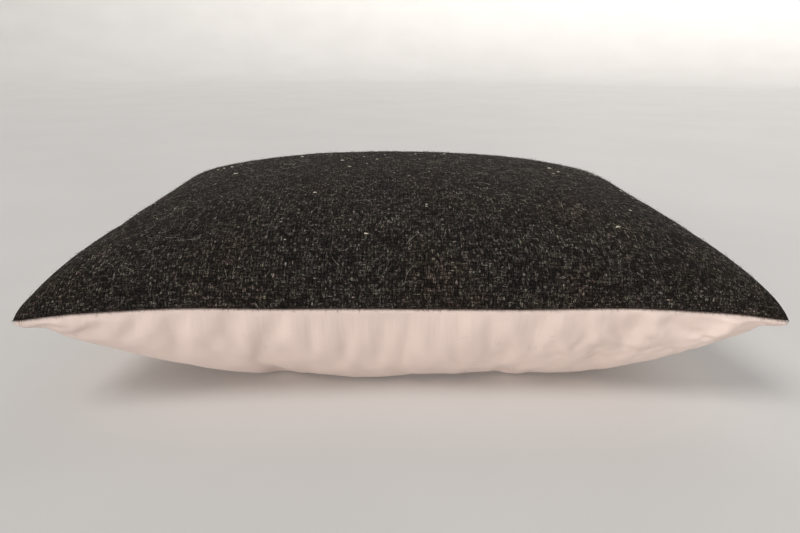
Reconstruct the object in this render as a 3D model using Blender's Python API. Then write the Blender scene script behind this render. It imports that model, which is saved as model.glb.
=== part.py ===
"""Stuffed lumbar cushion: a two-sided sewn cover, closed by a zip, round a loose fibre insert.

X runs along the long side, +Y points to the side with the zip, and +Z is up. The origin is at
the middle of the footprint, on the surface that the cushion lies on. Sizes are in metres.
"""

import math

import bmesh
import bpy

MM = 0.001

# The stuffed cushion at rest
HALF_LENGTH = 285 * MM  # middle to corner tip, along X
HALF_DEPTH = 190 * MM  # middle to corner tip, along Y
SEAM_HEIGHT = 80 * MM  # the edge seam, above the table
CROWN_RISE = 82 * MM  # the top, above the edge seam
BELLY_SPARE = 20 * MM  # how far the belly would sag below the table top, were it free
END_PULL = 26.5 * MM  # how far the short sides draw in between their corners
FRONT_PULL = 15.5 * MM  # the same for the long side away from the zip
REAR_PULL = 7 * MM  # and for the long side that the zip keeps straight
CORNER_WALL = 3.2 * MM  # upright edge at a corner tip, on each side of the seam

# How full each half is: the profile is (1 - |u|^fullness)^bluntness across each direction
CROWN_FULLNESS = 2.21
CROWN_BLUNT_X = 0.364
CROWN_BLUNT_Y = 0.392
BELLY_FULLNESS = 2.31
BELLY_BLUNT_X = 0.725
BELLY_BLUNT_Y = 0.25
WALL_BLEND = 3.0  # how softly the upright edge turns into the crown

# Cloth and gaps
FRONT_CLOTH = 1.5 * MM
BACK_CLOTH = 0.8 * MM
CASING_CLOTH = 0.5 * MM
GAP = 0.3 * MM  # between pieces that touch
LAYER_GAP = 0.45 * MM  # between curved layers, whose facets differ a little
ALLOWANCE = 12 * MM  # seam allowance turned inside the cover
HEM_LAYERS = 2  # thickness of each lip of the zip opening, in layers of front cloth
HEM_ROOT = 1 * MM  # how far the hem runs past the lip before the opening is cut
HEM_SHORT = 0.5 * MM  # how far the hem stops short of the tape's outer edge

# Threads
THREAD = 0.6 * MM
OVERLOCK_GRIP = 3 * MM  # how far the overlocking reaches over the allowances
SEAM_THREAD_INSET = 0.6 * MM  # from the seam thread to the inside of the wall
TOPSTITCH_INSET = 3 * MM  # from the lip of the zip opening to its stitching
TOPSTITCH_END = 4 * MM  # the same at the ends of the opening
TACK_WIDTH = 2 * MM

# Zip
CLOSED_SEAM_END = 52.5 * MM  # seam left closed between each corner and the zip opening
TAPE_TAIL = 8 * MM  # tape hidden beyond each end of the opening
TAPE_WIDTH = 11.2 * MM
TAPE_CLOTH = 0.5 * MM
COIL_WIDTH = 1.65 * MM
COIL_DEPTH = 1.8 * MM
STOP_INSET = 20 * MM  # from the end of the opening to the stops
STOP_LENGTH = 3 * MM
LIP_CLEARANCE = 0.7 * MM  # between the slider and the lips of the opening

# Slider and pull tab
SLIDER_LENGTH = 9 * MM
SLIDER_PLATE = 1 * MM
SLIDER_SKIRT = 0.8 * MM
SLIDER_NECK = 0.5 * MM
NECK_LENGTH = 3 * MM
BRIDGE_LENGTH = 6.4 * MM
BRIDGE_WIDTH = 1.2 * MM
BRIDGE_METAL = 0.8 * MM
BRIDGE_INSIDE = 2.1 * MM
TAB_LENGTH = 22 * MM
TAB_WIDTH = 5 * MM
TAB_METAL = 0.9 * MM
TAB_EYE_CLEARANCE = 0.4 * MM

# Loose insert
INSERT_INSET = 15 * MM  # from the cover's edge to the insert's edge
FILL_GAP = 0.8 * MM  # between the casing and the fill at its top and bottom
CLOSING_LENGTH = 150 * MM

# Mesh fineness
CELLS_X = 24
CELLS_Y = 16

# Sizes that follow from the ones above
BELLY_DROP = SEAM_HEIGHT + BELLY_SPARE
HALF_SEAM = GAP / 2
OPENING_HALF = HALF_LENGTH - CLOSED_SEAM_END
TAPE_HALF = OPENING_HALF + TAPE_TAIL
STRAIGHT_HALF = TAPE_HALF + 6 * MM
REAR_WALL_Y = HALF_DEPTH - REAR_PULL
COIL_INNER = SLIDER_NECK / 2 + GAP
COIL_OUTER = COIL_INNER + COIL_WIDTH
SLIDER_HALF_WIDTH = COIL_OUTER + GAP + SLIDER_SKIRT
LIP_HALF_GAP = SLIDER_HALF_WIDTH + LIP_CLEARANCE
TAPE_INNER = COIL_INNER + GAP
TAPE_OUTER = TAPE_INNER + TAPE_WIDTH
SIDE_WALL = TAPE_OUTER + 0.5 * MM
HEM_DEPTH = HEM_LAYERS * FRONT_CLOTH
TAPE_FACE_Y = REAR_WALL_Y - HEM_DEPTH - GAP
COIL_LOW_Y = TAPE_FACE_Y + GAP
COIL_HIGH_Y = COIL_LOW_Y + COIL_DEPTH
STOP_X = OPENING_HALF - STOP_INSET
SLIDER_X = STOP_X - GAP - SLIDER_LENGTH / 2
PLATE_LOW_Y = COIL_HIGH_Y + GAP
PLATE_HIGH_Y = PLATE_LOW_Y + SLIDER_PLATE
PULL_AXIS_Y = PLATE_HIGH_Y + BRIDGE_INSIDE / 2

# Each layer as (edge inset, crown inset, belly inset, height of its lowest face)
COVER_OUTSIDE = (0.0, 0.0, 0.0, 0.0)
FRONT_INSIDE = (FRONT_CLOTH, FRONT_CLOTH, FRONT_CLOTH, FRONT_CLOTH)
BACK_INSIDE = (BACK_CLOTH, BACK_CLOTH, BACK_CLOTH, BACK_CLOTH)


def deeper(layer, edge, front, back):
    """The layer that lies this much further in than another one."""
    return (layer[0] + edge, layer[1] + front, layer[2] + back, layer[3] + back)


CASING_OUTSIDE = deeper(
    COVER_OUTSIDE, INSERT_INSET, FRONT_CLOTH + LAYER_GAP, BACK_CLOTH + LAYER_GAP
)
CASING_INSIDE = deeper(CASING_OUTSIDE, CASING_CLOTH, CASING_CLOTH, CASING_CLOTH)
FILL_OUTSIDE = deeper(CASING_INSIDE, 2 * FILL_GAP, FILL_GAP, FILL_GAP)


# Shape of the cushion

def spread(cells, fixed=None):
    """Values from -1 to 1, closer at the ends; the nearest ones are moved to plus and minus fixed."""
    values = [math.sin(math.pi / 2 * (2 * i / cells - 1)) for i in range(cells + 1)]
    if fixed is not None:
        high = min(range(cells // 2 + 1, cells), key=lambda i: abs(values[i] - fixed))
        values[high] = fixed
        values[cells - high] = -fixed
    return values


STRAIGHT_U = STRAIGHT_HALF / HALF_LENGTH
GRID_U = spread(CELLS_X, STRAIGHT_U)
GRID_V = spread(CELLS_Y)


def beyond_straight(u):
    """0 along the straight part of the zip side, rising to 1 at the corners."""
    return max(0.0, (abs(u) - STRAIGHT_U) / (1 - STRAIGHT_U))


def plan(u, v, inset):
    """The place in plan of a grid point, for a layer whose edge lies inset from the cover's."""
    x = u * (HALF_LENGTH - inset - END_PULL * (1 - v * v))
    if v < 0:
        pull = FRONT_PULL * (1 - u * u)
    else:
        pull = REAR_PULL * (1 - beyond_straight(u) ** 1.6)
    return x, v * (HALF_DEPTH - inset - pull)


def side_wall(u, v):
    """Height of the upright edge, on each side of the seam."""
    along_long_side = math.sqrt(max(0.0, 1 - beyond_straight(u) ** 2))
    along_short_side = math.sqrt(max(0.0, 1 - v ** 4))
    return CORNER_WALL + (SIDE_WALL - CORNER_WALL) * max(along_long_side, along_short_side)


def swell(u, v, fullness, blunt_x, blunt_y):
    """1 in the middle and 0 at the edges."""
    return (1 - abs(u) ** fullness) ** blunt_x * (1 - abs(v) ** fullness) ** blunt_y


def blended(wall, height):
    return (wall ** WALL_BLEND + height ** WALL_BLEND) ** (1 / WALL_BLEND)


def top_point(u, v, layer):
    x, y = plan(u, v, layer[0])
    height = (CROWN_RISE - layer[1]) * swell(u, v, CROWN_FULLNESS, CROWN_BLUNT_X, CROWN_BLUNT_Y)
    return x, y, SEAM_HEIGHT + blended(side_wall(u, v), height)


def belly_point(u, v, layer):
    x, y = plan(u, v, layer[0])
    drop = (BELLY_DROP - layer[2]) * swell(u, v, BELLY_FULLNESS, BELLY_BLUNT_X, BELLY_BLUNT_Y)
    return x, y, max(SEAM_HEIGHT - blended(side_wall(u, v), drop), layer[3])


def grid_edge():
    """The (u, v) pairs round the grid, anticlockwise from the front left corner."""
    front = [(u, -1.0) for u in GRID_U]
    right = [(1.0, v) for v in GRID_V[1:]]
    rear = [(u, 1.0) for u in reversed(GRID_U[:-1])]
    left = [(-1.0, v) for v in reversed(GRID_V[1:-1])]
    return front + right + rear + left


def sewn_edge():
    """The (u, v) pairs along the three sides without a zip."""
    left = [(-1.0, v) for v in reversed(GRID_V)]
    front = [(u, -1.0) for u in GRID_U[1:]]
    right = [(1.0, v) for v in GRID_V[1:]]
    return left + front + right


# Mesh helpers

def add_grid(bm, point, layer):
    """A patch of cells over the whole plan, and its edge as a loop of vertices."""
    verts = [[bm.verts.new(point(u, v, layer)) for u in GRID_U] for v in GRID_V]
    for j in range(CELLS_Y):
        for i in range(CELLS_X):
            corners = [verts[j][i], verts[j][i + 1], verts[j + 1][i + 1], verts[j + 1][i]]
            leans_right = (2 * i + 1 < CELLS_X) == (2 * j + 1 < CELLS_Y)
            first = 0 if leans_right else 1
            bm.faces.new(corners[first:] + corners[:first])
    rear = list(reversed(verts[-1][:-1]))
    left = [row[0] for row in reversed(verts[1:-1])]
    return verts[0] + [row[-1] for row in verts[1:]] + rear + left


def add_ring(bm, inset, z):
    """A level loop of vertices, inset from the cover's edge."""
    return [bm.verts.new((*plan(u, v, inset), z)) for u, v in grid_edge()]


def join_loops(bm, loops):
    """Bands of faces from each closed loop of vertices to the next."""
    for low, high in zip(loops, loops[1:]):
        for i in range(len(low)):
            following = (i + 1) % len(low)
            bm.faces.new((low[i], low[following], high[following], high[i]))


def finish_object(name, bm, colour, roughness, metallic=0.0, at=(0.0, 0.0, 0.0)):
    """Turns a bmesh into a named object with its own material."""
    bmesh.ops.triangulate(bm, faces=bm.faces[:], quad_method="FIXED")
    bmesh.ops.recalc_face_normals(bm, faces=bm.faces[:])
    mesh = bpy.data.meshes.new(name)
    bm.to_mesh(mesh)
    bm.free()
    part = bpy.data.objects.new(name, mesh)
    part.location = at
    bpy.context.scene.collection.objects.link(part)
    if colour is not None:
        material = bpy.data.materials.new(name)
        material.use_nodes = True
        shader = material.node_tree.nodes["Principled BSDF"]
        shader.inputs["Base Color"].default_value = (*colour, 1.0)
        shader.inputs["Roughness"].default_value = roughness
        shader.inputs["Metallic"].default_value = metallic
        mesh.materials.append(material)
    return part


def add_box(bm, xs, ys, zs):
    """A box between pairs of planes."""
    verts = bmesh.ops.create_cube(bm, size=1.0)["verts"]
    for vert in verts:
        vert.co.x = xs[0] if vert.co.x < 0 else xs[1]
        vert.co.y = ys[0] if vert.co.y < 0 else ys[1]
        vert.co.z = zs[0] if vert.co.z < 0 else zs[1]
    return verts


def box_object(name, xs, ys, zs, colour, roughness, metallic=0.0, at=(0.0, 0.0, 0.0)):
    bm = bmesh.new()
    add_box(bm, xs, ys, zs)
    return finish_object(name, bm, colour, roughness, metallic, at)


def round_edges(part, width, segments=2):
    bevel = part.modifiers.new("rounded", "BEVEL")
    bevel.width = width
    bevel.segments = segments


def combine(part, other, operation):
    """Adds another shape to a part, or cuts it out, and keeps that shape out of the model."""
    boolean = part.modifiers.new(operation.lower(), "BOOLEAN")
    boolean.operation = operation
    boolean.solver = "EXACT"
    boolean.object = other
    other.hide_render = True
    other.display_type = "WIRE"
    other.parent = part.parent


def sweep_sewn_edge(name, section, colour, roughness):
    """A strip along the three sewn sides.

    Its section is a list of (inset, z) corners, along one face of the strip and back along the other.
    """
    bm = bmesh.new()
    rows = [
        [bm.verts.new((*plan(u, v, inset), z)) for inset, z in section] for u, v in sewn_edge()
    ]
    for row, following in zip(rows, rows[1:]):
        for i in range(len(section)):
            k = (i + 1) % len(section)
            bm.faces.new((row[i], row[k], following[k], following[i]))
    last = len(section) - 1
    for row in (rows[0], rows[-1]):
        for i in range(len(section) // 2 - 1):
            bm.faces.new((row[i], row[i + 1], row[last - i - 1], row[last - i]))
    return finish_object(name, bm, colour, roughness)


# Cover

def dish(name, point, outside, inside, cloth, side, colour, roughness):
    """One panel of the cover: its outside, its inside and the allowance turned in between."""
    bm = bmesh.new()
    seam = SEAM_HEIGHT + side * HALF_SEAM
    folded = seam + side * cloth
    join_loops(
        bm,
        [
            add_grid(bm, point, outside),
            add_ring(bm, 0.0, seam),
            add_ring(bm, ALLOWANCE, seam),
            add_ring(bm, ALLOWANCE, folded),
            add_ring(bm, cloth, folded),
            add_grid(bm, point, inside),
        ],
    )
    return finish_object(name, bm, colour, roughness)


def add_zip_opening(panel, cloth, side):
    """Folds a hem behind the lip of the zip opening, then cuts the opening."""
    lip = SEAM_HEIGHT + side * LIP_HALF_GAP
    hem_end = SEAM_HEIGHT + side * (TAPE_OUTER - HEM_SHORT)
    deep = HALF_DEPTH - 2 * ALLOWANCE
    hem = box_object(
        panel.name + "_hem",
        (-TAPE_HALF, TAPE_HALF),
        (REAR_WALL_Y - HEM_DEPTH, REAR_WALL_Y - cloth * 0.8),
        sorted((lip - side * HEM_ROOT, hem_end)),
        None,
        0.5,
    )
    combine(panel, hem, "UNION")
    opening = box_object(
        panel.name + "_opening",
        (-OPENING_HALF, OPENING_HALF),
        (deep, HALF_DEPTH),
        (SEAM_HEIGHT - LIP_HALF_GAP, SEAM_HEIGHT + LIP_HALF_GAP),
        None,
        0.5,
    )
    combine(panel, opening, "DIFFERENCE")
    clipped = FRONT_CLOTH + GAP
    notch = box_object(
        panel.name + "_clipped_allowance",
        (-TAPE_HALF - MM, TAPE_HALF + MM),
        (deep, REAR_WALL_Y - HEM_DEPTH + 0.1 * MM),
        (SEAM_HEIGHT - clipped, SEAM_HEIGHT + clipped),
        None,
        0.5,
    )
    combine(panel, notch, "DIFFERENCE")


def make_cover():
    front = dish(
        "cover_front_panel", top_point, COVER_OUTSIDE, FRONT_INSIDE, FRONT_CLOTH, 1,
        (0.026, 0.021, 0.018), 0.95,
    )
    add_zip_opening(front, FRONT_CLOTH, 1)
    back = dish(
        "cover_back_panel", belly_point, COVER_OUTSIDE, BACK_INSIDE, BACK_CLOTH, -1,
        (0.74, 0.58, 0.49), 0.85,
    )
    add_zip_opening(back, BACK_CLOTH, -1)


def make_seam_threads():
    """The two threads of the edge seam and the overlocking round both allowances."""
    rows = {
        "seam_needle_thread": (FRONT_CLOTH, 1, (0.03, 0.027, 0.025)),
        "seam_bobbin_thread": (BACK_CLOTH, -1, (0.72, 0.6, 0.52)),
    }
    for name, (cloth, side, colour) in rows.items():
        near = SEAM_HEIGHT + side * (HALF_SEAM + cloth + GAP)
        far = near + side * THREAD
        inset = cloth + SEAM_THREAD_INSET
        section = [(inset, near), (inset + THREAD, near), (inset + THREAD, far), (inset, far)]
        sweep_sewn_edge(name, section, colour, 0.7)
    grip = ALLOWANCE - OVERLOCK_GRIP
    edge = ALLOWANCE + LAYER_GAP
    top = SEAM_HEIGHT + HALF_SEAM + FRONT_CLOTH + GAP
    bottom = SEAM_HEIGHT - HALF_SEAM - BACK_CLOTH - GAP
    section = [
        (grip, top),
        (edge, top),
        (edge, bottom),
        (grip, bottom),
        (grip, bottom - THREAD),
        (edge + THREAD, bottom - THREAD),
        (edge + THREAD, top + THREAD),
        (grip, top + THREAD),
    ]
    sweep_sewn_edge("overlock_thread", section, (0.7, 0.66, 0.6), 0.8)


# Zip

def make_zip_halves():
    for name, side in {"upper": 1, "lower": -1}.items():
        box_object(
            "zip_tape_" + name,
            (-TAPE_HALF, TAPE_HALF),
            (TAPE_FACE_Y - TAPE_CLOTH, TAPE_FACE_Y),
            sorted((SEAM_HEIGHT + side * TAPE_INNER, SEAM_HEIGHT + side * TAPE_OUTER)),
            (0.035, 0.03, 0.028),
            0.85,
        )
        coil = box_object(
            "zip_coil_" + name,
            (-STOP_X + GAP, STOP_X - GAP),
            (COIL_LOW_Y, COIL_HIGH_Y),
            sorted((SEAM_HEIGHT + side * COIL_INNER, SEAM_HEIGHT + side * COIL_OUTER)),
            (0.03, 0.027, 0.025),
            0.45,
        )
        round_edges(coil, COIL_WIDTH / 4)
        stop = box_object(
            "zip_top_stop_" + name,
            (STOP_X, STOP_X + STOP_LENGTH),
            (COIL_LOW_Y, COIL_HIGH_Y),
            sorted((SEAM_HEIGHT + side * COIL_INNER, SEAM_HEIGHT + side * COIL_OUTER)),
            (0.16, 0.15, 0.14),
            0.4,
            1.0,
        )
        round_edges(stop, COIL_WIDTH / 6)
    stop = box_object(
        "zip_bottom_stop",
        (-STOP_X - STOP_LENGTH, -STOP_X),
        (COIL_LOW_Y, COIL_HIGH_Y),
        (SEAM_HEIGHT - COIL_OUTER, SEAM_HEIGHT + COIL_OUTER),
        (0.16, 0.15, 0.14),
        0.4,
        1.0,
    )
    round_edges(stop, COIL_WIDTH / 6)


def make_slider(colour):
    """The slider, its origin on the line that it slides along; the nose points to the top stops."""
    at = (SLIDER_X, TAPE_FACE_Y, SEAM_HEIGHT)
    half = SLIDER_LENGTH / 2
    plate_low = PLATE_LOW_Y - TAPE_FACE_Y
    plate_high = PLATE_HIGH_Y - TAPE_FACE_Y
    inner_high = -TAPE_CLOTH - GAP
    inner_low = inner_high - SLIDER_PLATE
    slider = box_object(
        "zip_slider", (-half, half), (plate_low, plate_high),
        (-SLIDER_HALF_WIDTH, SLIDER_HALF_WIDTH), colour, 0.35, 1.0, at,
    )
    round_edges(slider, SLIDER_PLATE / 4)
    overlap = SLIDER_PLATE / 2
    pieces = {
        "inner_plate": ((-half, half), (inner_low, inner_high), (-COIL_OUTER, COIL_OUTER)),
        "neck": (
            (half - NECK_LENGTH - overlap, half - overlap),
            (inner_high - overlap, plate_low + overlap),
            (-SLIDER_NECK / 2, SLIDER_NECK / 2),
        ),
    }
    for side in (-1, 1):
        skirt = sorted((side * (COIL_OUTER + GAP), side * SLIDER_HALF_WIDTH * 0.98))
        pieces["skirt_%d" % side] = (
            (-half * 0.9, half * 0.9), (GAP, plate_low + overlap), skirt,
        )
    for side in (-1, 1):
        leg = sorted((side * BRIDGE_LENGTH / 2, side * (BRIDGE_LENGTH / 2 - BRIDGE_METAL)))
        pieces["bridge_leg_%d" % side] = (
            leg,
            (plate_high - overlap, plate_high + BRIDGE_INSIDE + BRIDGE_METAL / 2),
            (-BRIDGE_WIDTH / 2, BRIDGE_WIDTH / 2),
        )
    pieces["bridge_top"] = (
        (-BRIDGE_LENGTH / 2 * 1.02, BRIDGE_LENGTH / 2 * 1.02),
        (plate_high + BRIDGE_INSIDE, plate_high + BRIDGE_INSIDE + BRIDGE_METAL),
        (-BRIDGE_WIDTH * 0.52, BRIDGE_WIDTH * 0.52),
    )
    for name, (xs, ys, zs) in pieces.items():
        combine(slider, box_object("slider_" + name, xs, ys, zs, None, 0.5, at=at), "UNION")
    return slider


def make_pull_tab(colour):
    """The tab, its origin on its hinge axis; at rest it lies back along the closed zip."""
    at = (SLIDER_X, PULL_AXIS_Y, SEAM_HEIGHT)
    bar = TAB_METAL / 2
    eye_end = BRIDGE_LENGTH / 2 + 2 * TAB_EYE_CLEARANCE
    eye_half = BRIDGE_WIDTH / 2 + TAB_EYE_CLEARANCE
    shoulder = eye_end + TAB_WIDTH / 3
    neck_half = eye_half + TAB_METAL
    outline = [
        (bar, -neck_half),
        (bar, neck_half),
        (-eye_end, neck_half),
        (-shoulder, TAB_WIDTH / 2),
        (-TAB_LENGTH + TAB_WIDTH / 3, TAB_WIDTH / 2),
        (-TAB_LENGTH, TAB_WIDTH / 4),
        (-TAB_LENGTH, -TAB_WIDTH / 4),
        (-TAB_LENGTH + TAB_WIDTH / 3, -TAB_WIDTH / 2),
        (-shoulder, -TAB_WIDTH / 2),
        (-eye_end, -neck_half),
    ]
    bm = bmesh.new()
    face = bm.faces.new([bm.verts.new((x, -bar, z)) for x, z in outline])
    raised = bmesh.ops.extrude_face_region(bm, geom=[face])["geom"]
    for vert in raised:
        if isinstance(vert, bmesh.types.BMVert):
            vert.co.y = bar
    tab = finish_object("zip_pull_tab", bm, colour, 0.35, 1.0, at)
    eye = box_object(
        "pull_tab_eye", (-eye_end, -bar), (-TAB_METAL, TAB_METAL), (-eye_half, eye_half),
        None, 0.5, at=at,
    )
    combine(tab, eye, "DIFFERENCE")
    round_edges(tab, TAB_METAL / 5, 1)
    return tab


def make_zip_stitches():
    """The loop of stitching round the opening, and a bar tack at each of its ends."""
    thread_colour = (0.03, 0.027, 0.025)
    outside = (REAR_WALL_Y + GAP, REAR_WALL_Y + GAP + THREAD)
    half_x = OPENING_HALF + TOPSTITCH_END
    half_z = LIP_HALF_GAP + TOPSTITCH_INSET
    bm = bmesh.new()
    loops = []
    for y, grow in ((outside[0], 0), (outside[1], 0), (outside[1], THREAD), (outside[0], THREAD)):
        x = half_x + grow
        z = half_z + grow
        corners = [(-x, -z), (x, -z), (x, z), (-x, z)]
        loops.append([bm.verts.new((cx, y, SEAM_HEIGHT + cz)) for cx, cz in corners])
    join_loops(bm, loops + [loops[0]])
    finish_object("zip_topstitch", bm, thread_colour, 0.7)
    for name, side in {"left": -1, "right": 1}.items():
        near = side * (OPENING_HALF + TACK_WIDTH / 2)
        tack = box_object(
            "bar_tack_" + name,
            sorted((near, near + side * TACK_WIDTH)),
            outside,
            (SEAM_HEIGHT - LIP_HALF_GAP, SEAM_HEIGHT + LIP_HALF_GAP),
            thread_colour,
            0.7,
        )
        round_edges(tack, THREAD / 4)


# Insert

def casing_half(name, point, side):
    bm = bmesh.new()
    seam = SEAM_HEIGHT + side * HALF_SEAM
    join_loops(
        bm,
        [
            add_grid(bm, point, CASING_OUTSIDE),
            add_ring(bm, CASING_OUTSIDE[0], seam),
            add_ring(bm, CASING_INSIDE[0], seam),
            add_grid(bm, point, CASING_INSIDE),
        ],
    )
    return finish_object(name, bm, (0.86, 0.85, 0.82), 0.8)


def make_insert():
    casing_half("insert_casing_top", top_point, 1)
    casing_half("insert_casing_bottom", belly_point, -1)
    casing_edge = REAR_WALL_Y - INSERT_INSET
    closing = box_object(
        "insert_closing_thread",
        (-CLOSING_LENGTH / 2, CLOSING_LENGTH / 2),
        (casing_edge + GAP, casing_edge + GAP + THREAD),
        (SEAM_HEIGHT - THREAD, SEAM_HEIGHT + THREAD),
        (0.8, 0.79, 0.76),
        0.7,
    )
    round_edges(closing, THREAD / 4)
    bm = bmesh.new()
    join_loops(
        bm,
        [
            add_grid(bm, top_point, FILL_OUTSIDE),
            add_ring(bm, FILL_OUTSIDE[0], SEAM_HEIGHT),
            add_grid(bm, belly_point, FILL_OUTSIDE),
        ],
    )
    finish_object("insert_fill", bm, (0.9, 0.89, 0.87), 0.95)


for existing in list(bpy.data.objects):
    bpy.data.objects.remove(existing)

METAL = (0.16, 0.15, 0.14)
make_cover()
make_seam_threads()
make_zip_halves()
make_slider(METAL)
make_pull_tab(METAL)
make_zip_stitches()
make_insert()
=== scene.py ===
"""Lumbar cushion: a woven wool front, a cotton back, a zip in the rear seam and a loose insert."""

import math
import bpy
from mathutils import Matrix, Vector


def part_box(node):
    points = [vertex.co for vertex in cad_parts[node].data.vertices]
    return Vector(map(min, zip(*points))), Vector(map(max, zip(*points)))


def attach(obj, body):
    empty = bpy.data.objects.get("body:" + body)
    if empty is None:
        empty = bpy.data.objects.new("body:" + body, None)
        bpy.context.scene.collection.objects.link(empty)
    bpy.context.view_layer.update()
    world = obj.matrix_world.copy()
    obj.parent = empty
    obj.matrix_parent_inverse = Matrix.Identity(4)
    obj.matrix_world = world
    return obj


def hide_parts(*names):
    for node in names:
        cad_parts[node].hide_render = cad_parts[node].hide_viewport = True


bl_info = {
    "name": "Lumbar Cushion",
    "version": (1, 0, 0),
    "blender": (4, 5, 0),
    "location": "3D View > Sidebar > Cushion",
    "description": "Makes a stuffed lumbar cushion with a woven front, a cotton back and a zip",
    "category": "Add Mesh",
}

import bmesh
import bpy
import numpy as np
from mathutils import Matrix, Vector
from mathutils.bvhtree import BVHTree

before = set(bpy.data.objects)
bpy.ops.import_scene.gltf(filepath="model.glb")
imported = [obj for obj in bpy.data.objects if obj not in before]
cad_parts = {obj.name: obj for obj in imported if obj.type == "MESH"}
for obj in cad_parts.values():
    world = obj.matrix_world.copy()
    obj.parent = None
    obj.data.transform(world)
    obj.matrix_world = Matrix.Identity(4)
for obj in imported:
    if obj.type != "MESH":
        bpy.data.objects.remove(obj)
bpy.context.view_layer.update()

MM = 0.001

# Sizes read from the frame
FRONT_LOW, FRONT_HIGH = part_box("cover_front_panel")
_, BACK_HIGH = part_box("cover_back_panel")
_, COIL_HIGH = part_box("zip_coil_upper")
_, TAPE_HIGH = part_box("zip_tape_upper")
STITCH_LOW, STITCH_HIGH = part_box("zip_topstitch")
HALF_LENGTH = FRONT_HIGH.x
HALF_DEPTH = FRONT_HIGH.y
SEAM_HEIGHT = (FRONT_LOW.z + BACK_HIGH.z) / 2
CROWN_RISE = FRONT_HIGH.z - SEAM_HEIGHT
TAPE_HALF = TAPE_HIGH.x
OPENING_HALF = TAPE_HALF - 8 * MM
STRAIGHT_U = (TAPE_HALF + 6 * MM) / HALF_LENGTH
REAR_WALL_Y = STITCH_LOW.y - 0.3 * MM

# The cushion's form, as in the frame
BELLY_SPARE = 20 * MM
END_PULL = 26.5 * MM
FRONT_PULL = 15.5 * MM
REAR_PULL = HALF_DEPTH - REAR_WALL_Y
CORNER_WALL = 3.2 * MM
SIDE_WALL = 12.5 * MM
WALL_BLEND = 3.0
CROWN_FORM = (2.21, 0.364, 0.392)
BELLY_FORM = (2.31, 0.725, 0.25)
EDGE_ROUNDNESS = 60
LIP_HALF_GAP = 4.0 * MM
ALLOWANCE_ROWS = ((1.0, 0.4), (3.5, 0.3), (7.5, 0.3), (12.0, 0.3))
HEM_ROWS = ((0.9, 0.25), (2.3, 0.9), (3.1, 3.4), (3.2, 8.2))
SKIRT = len(ALLOWANCE_ROWS)
TIP_ROUNDING = 1.6 * MM
TIP_HEIGHT = 9.5 * MM
OVER_TABLE = 0.2 * MM

# How the cloth settles on the filling
CLOTH_FRAMES = 26
CLOTH_PRESSURE = 3.0
CLOTH_BENDING = 0.3
BROAD_PASSES = 260
DEEPEST_WRINKLE = 7 * MM
PLEAT_DEPTH = 1.15 * MM


# Shape of the cushion

def beyond_straight(u):
    """0 along the straight part of the zip side, rising to 1 at the corners."""
    return np.clip((np.abs(u) - STRAIGHT_U) / (1 - STRAIGHT_U), 0, 1)


def plan(u, v, inset=0.0):
    """Places in plan of points of the cushion, u and v running from -1 to 1."""
    x = u * (HALF_LENGTH - inset - END_PULL * (1 - v * v))
    pull = np.where(v < 0, FRONT_PULL * (1 - u * u), REAR_PULL * (1 - beyond_straight(u) ** 1.6))
    tip = TIP_ROUNDING * np.clip((u * u - 0.92) / 0.08, 0, 1) * np.clip((v * v - 0.9) / 0.1, 0, 1)
    return x - np.sign(u) * tip, v * (HALF_DEPTH - inset - pull) - np.sign(v) * tip


def seam_wave(x, y):
    """How far the sewn edge lies off its middle height: up beside the corners, down at the tips."""
    along = np.abs(x) / HALF_LENGTH
    share = np.clip(-y / HALF_DEPTH, 0, 1) ** 2
    swell = 2.2 * MM * np.sin(np.clip((along - 0.3) / 0.6, 0, 1) * math.pi) ** 2
    droop = 4.5 * MM * np.clip((along - 0.84) / 0.16, 0, 1) ** 1.4
    middle = 1.2 * MM * np.exp(-((x - 0.04) / 0.09) ** 2)
    return share * (swell - droop - middle)


def half_height(u, v, rise, form):
    """Height over the seam of one half of the cushion, before its edge is rounded."""
    fullness, blunt_x, blunt_y = form
    along_long_side = np.sqrt(np.clip(1 - beyond_straight(u) ** 2, 0, 1))
    along_short_side = np.sqrt(np.clip(1 - v ** 4, 0, 1))
    tip = TIP_HEIGHT if form is CROWN_FORM else CORNER_WALL
    wall = tip + (SIDE_WALL - tip) * np.maximum(along_long_side, along_short_side)
    across = np.clip(1 - np.abs(u) ** fullness, 0, 1) ** blunt_x
    deep = np.clip(1 - np.abs(v) ** fullness, 0, 1) ** blunt_y
    return (wall ** WALL_BLEND + (rise * across * deep) ** WALL_BLEND) ** (1 / WALL_BLEND)


def rounded_edge(u, v):
    """Brings the height to nothing at the seam, over the last few millimetres."""
    return np.sqrt(
        np.clip(1 - np.abs(u) ** EDGE_ROUNDNESS, 0, 1)
        * np.clip(1 - np.abs(v) ** EDGE_ROUNDNESS, 0, 1)
    )


def soft_floor(z, softness=4 * MM):
    """Lets nothing sink below the table, with a soft turn where the cloth meets it."""
    return 0.5 * (z + np.sqrt(z * z + softness * softness)) - 0.5 * softness


def panel_points(u, v, side):
    """Points of the outer face of a panel; side is 1 for the front and -1 for the back."""
    x, y = plan(u, v)
    if side > 0:
        z = SEAM_HEIGHT + half_height(u, v, CROWN_RISE, CROWN_FORM) * rounded_edge(u, v)
    else:
        drop = half_height(u, v, SEAM_HEIGHT + BELLY_SPARE, BELLY_FORM) * rounded_edge(u, v)
        z = np.maximum(soft_floor(SEAM_HEIGHT - drop), 0)
    return np.stack([x, y, z], -1)


def even_steps(side, along_length, count):
    """Values from -1 to 1 that are evenly spaced along the cloth, and the cloth's length."""
    fine = np.sin(np.linspace(-1, 1, 4001) * math.pi / 2)
    still = np.zeros_like(fine)
    points = panel_points(fine, still, side) if along_length else panel_points(still, fine, side)
    lengths = np.concatenate([[0], np.cumsum(np.linalg.norm(np.diff(points, axis=0), axis=1))])
    values = np.interp(np.linspace(0, lengths[-1], count + 1), lengths, fine)
    values[0], values[-1] = -1, 1
    return values, lengths[-1]


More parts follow.
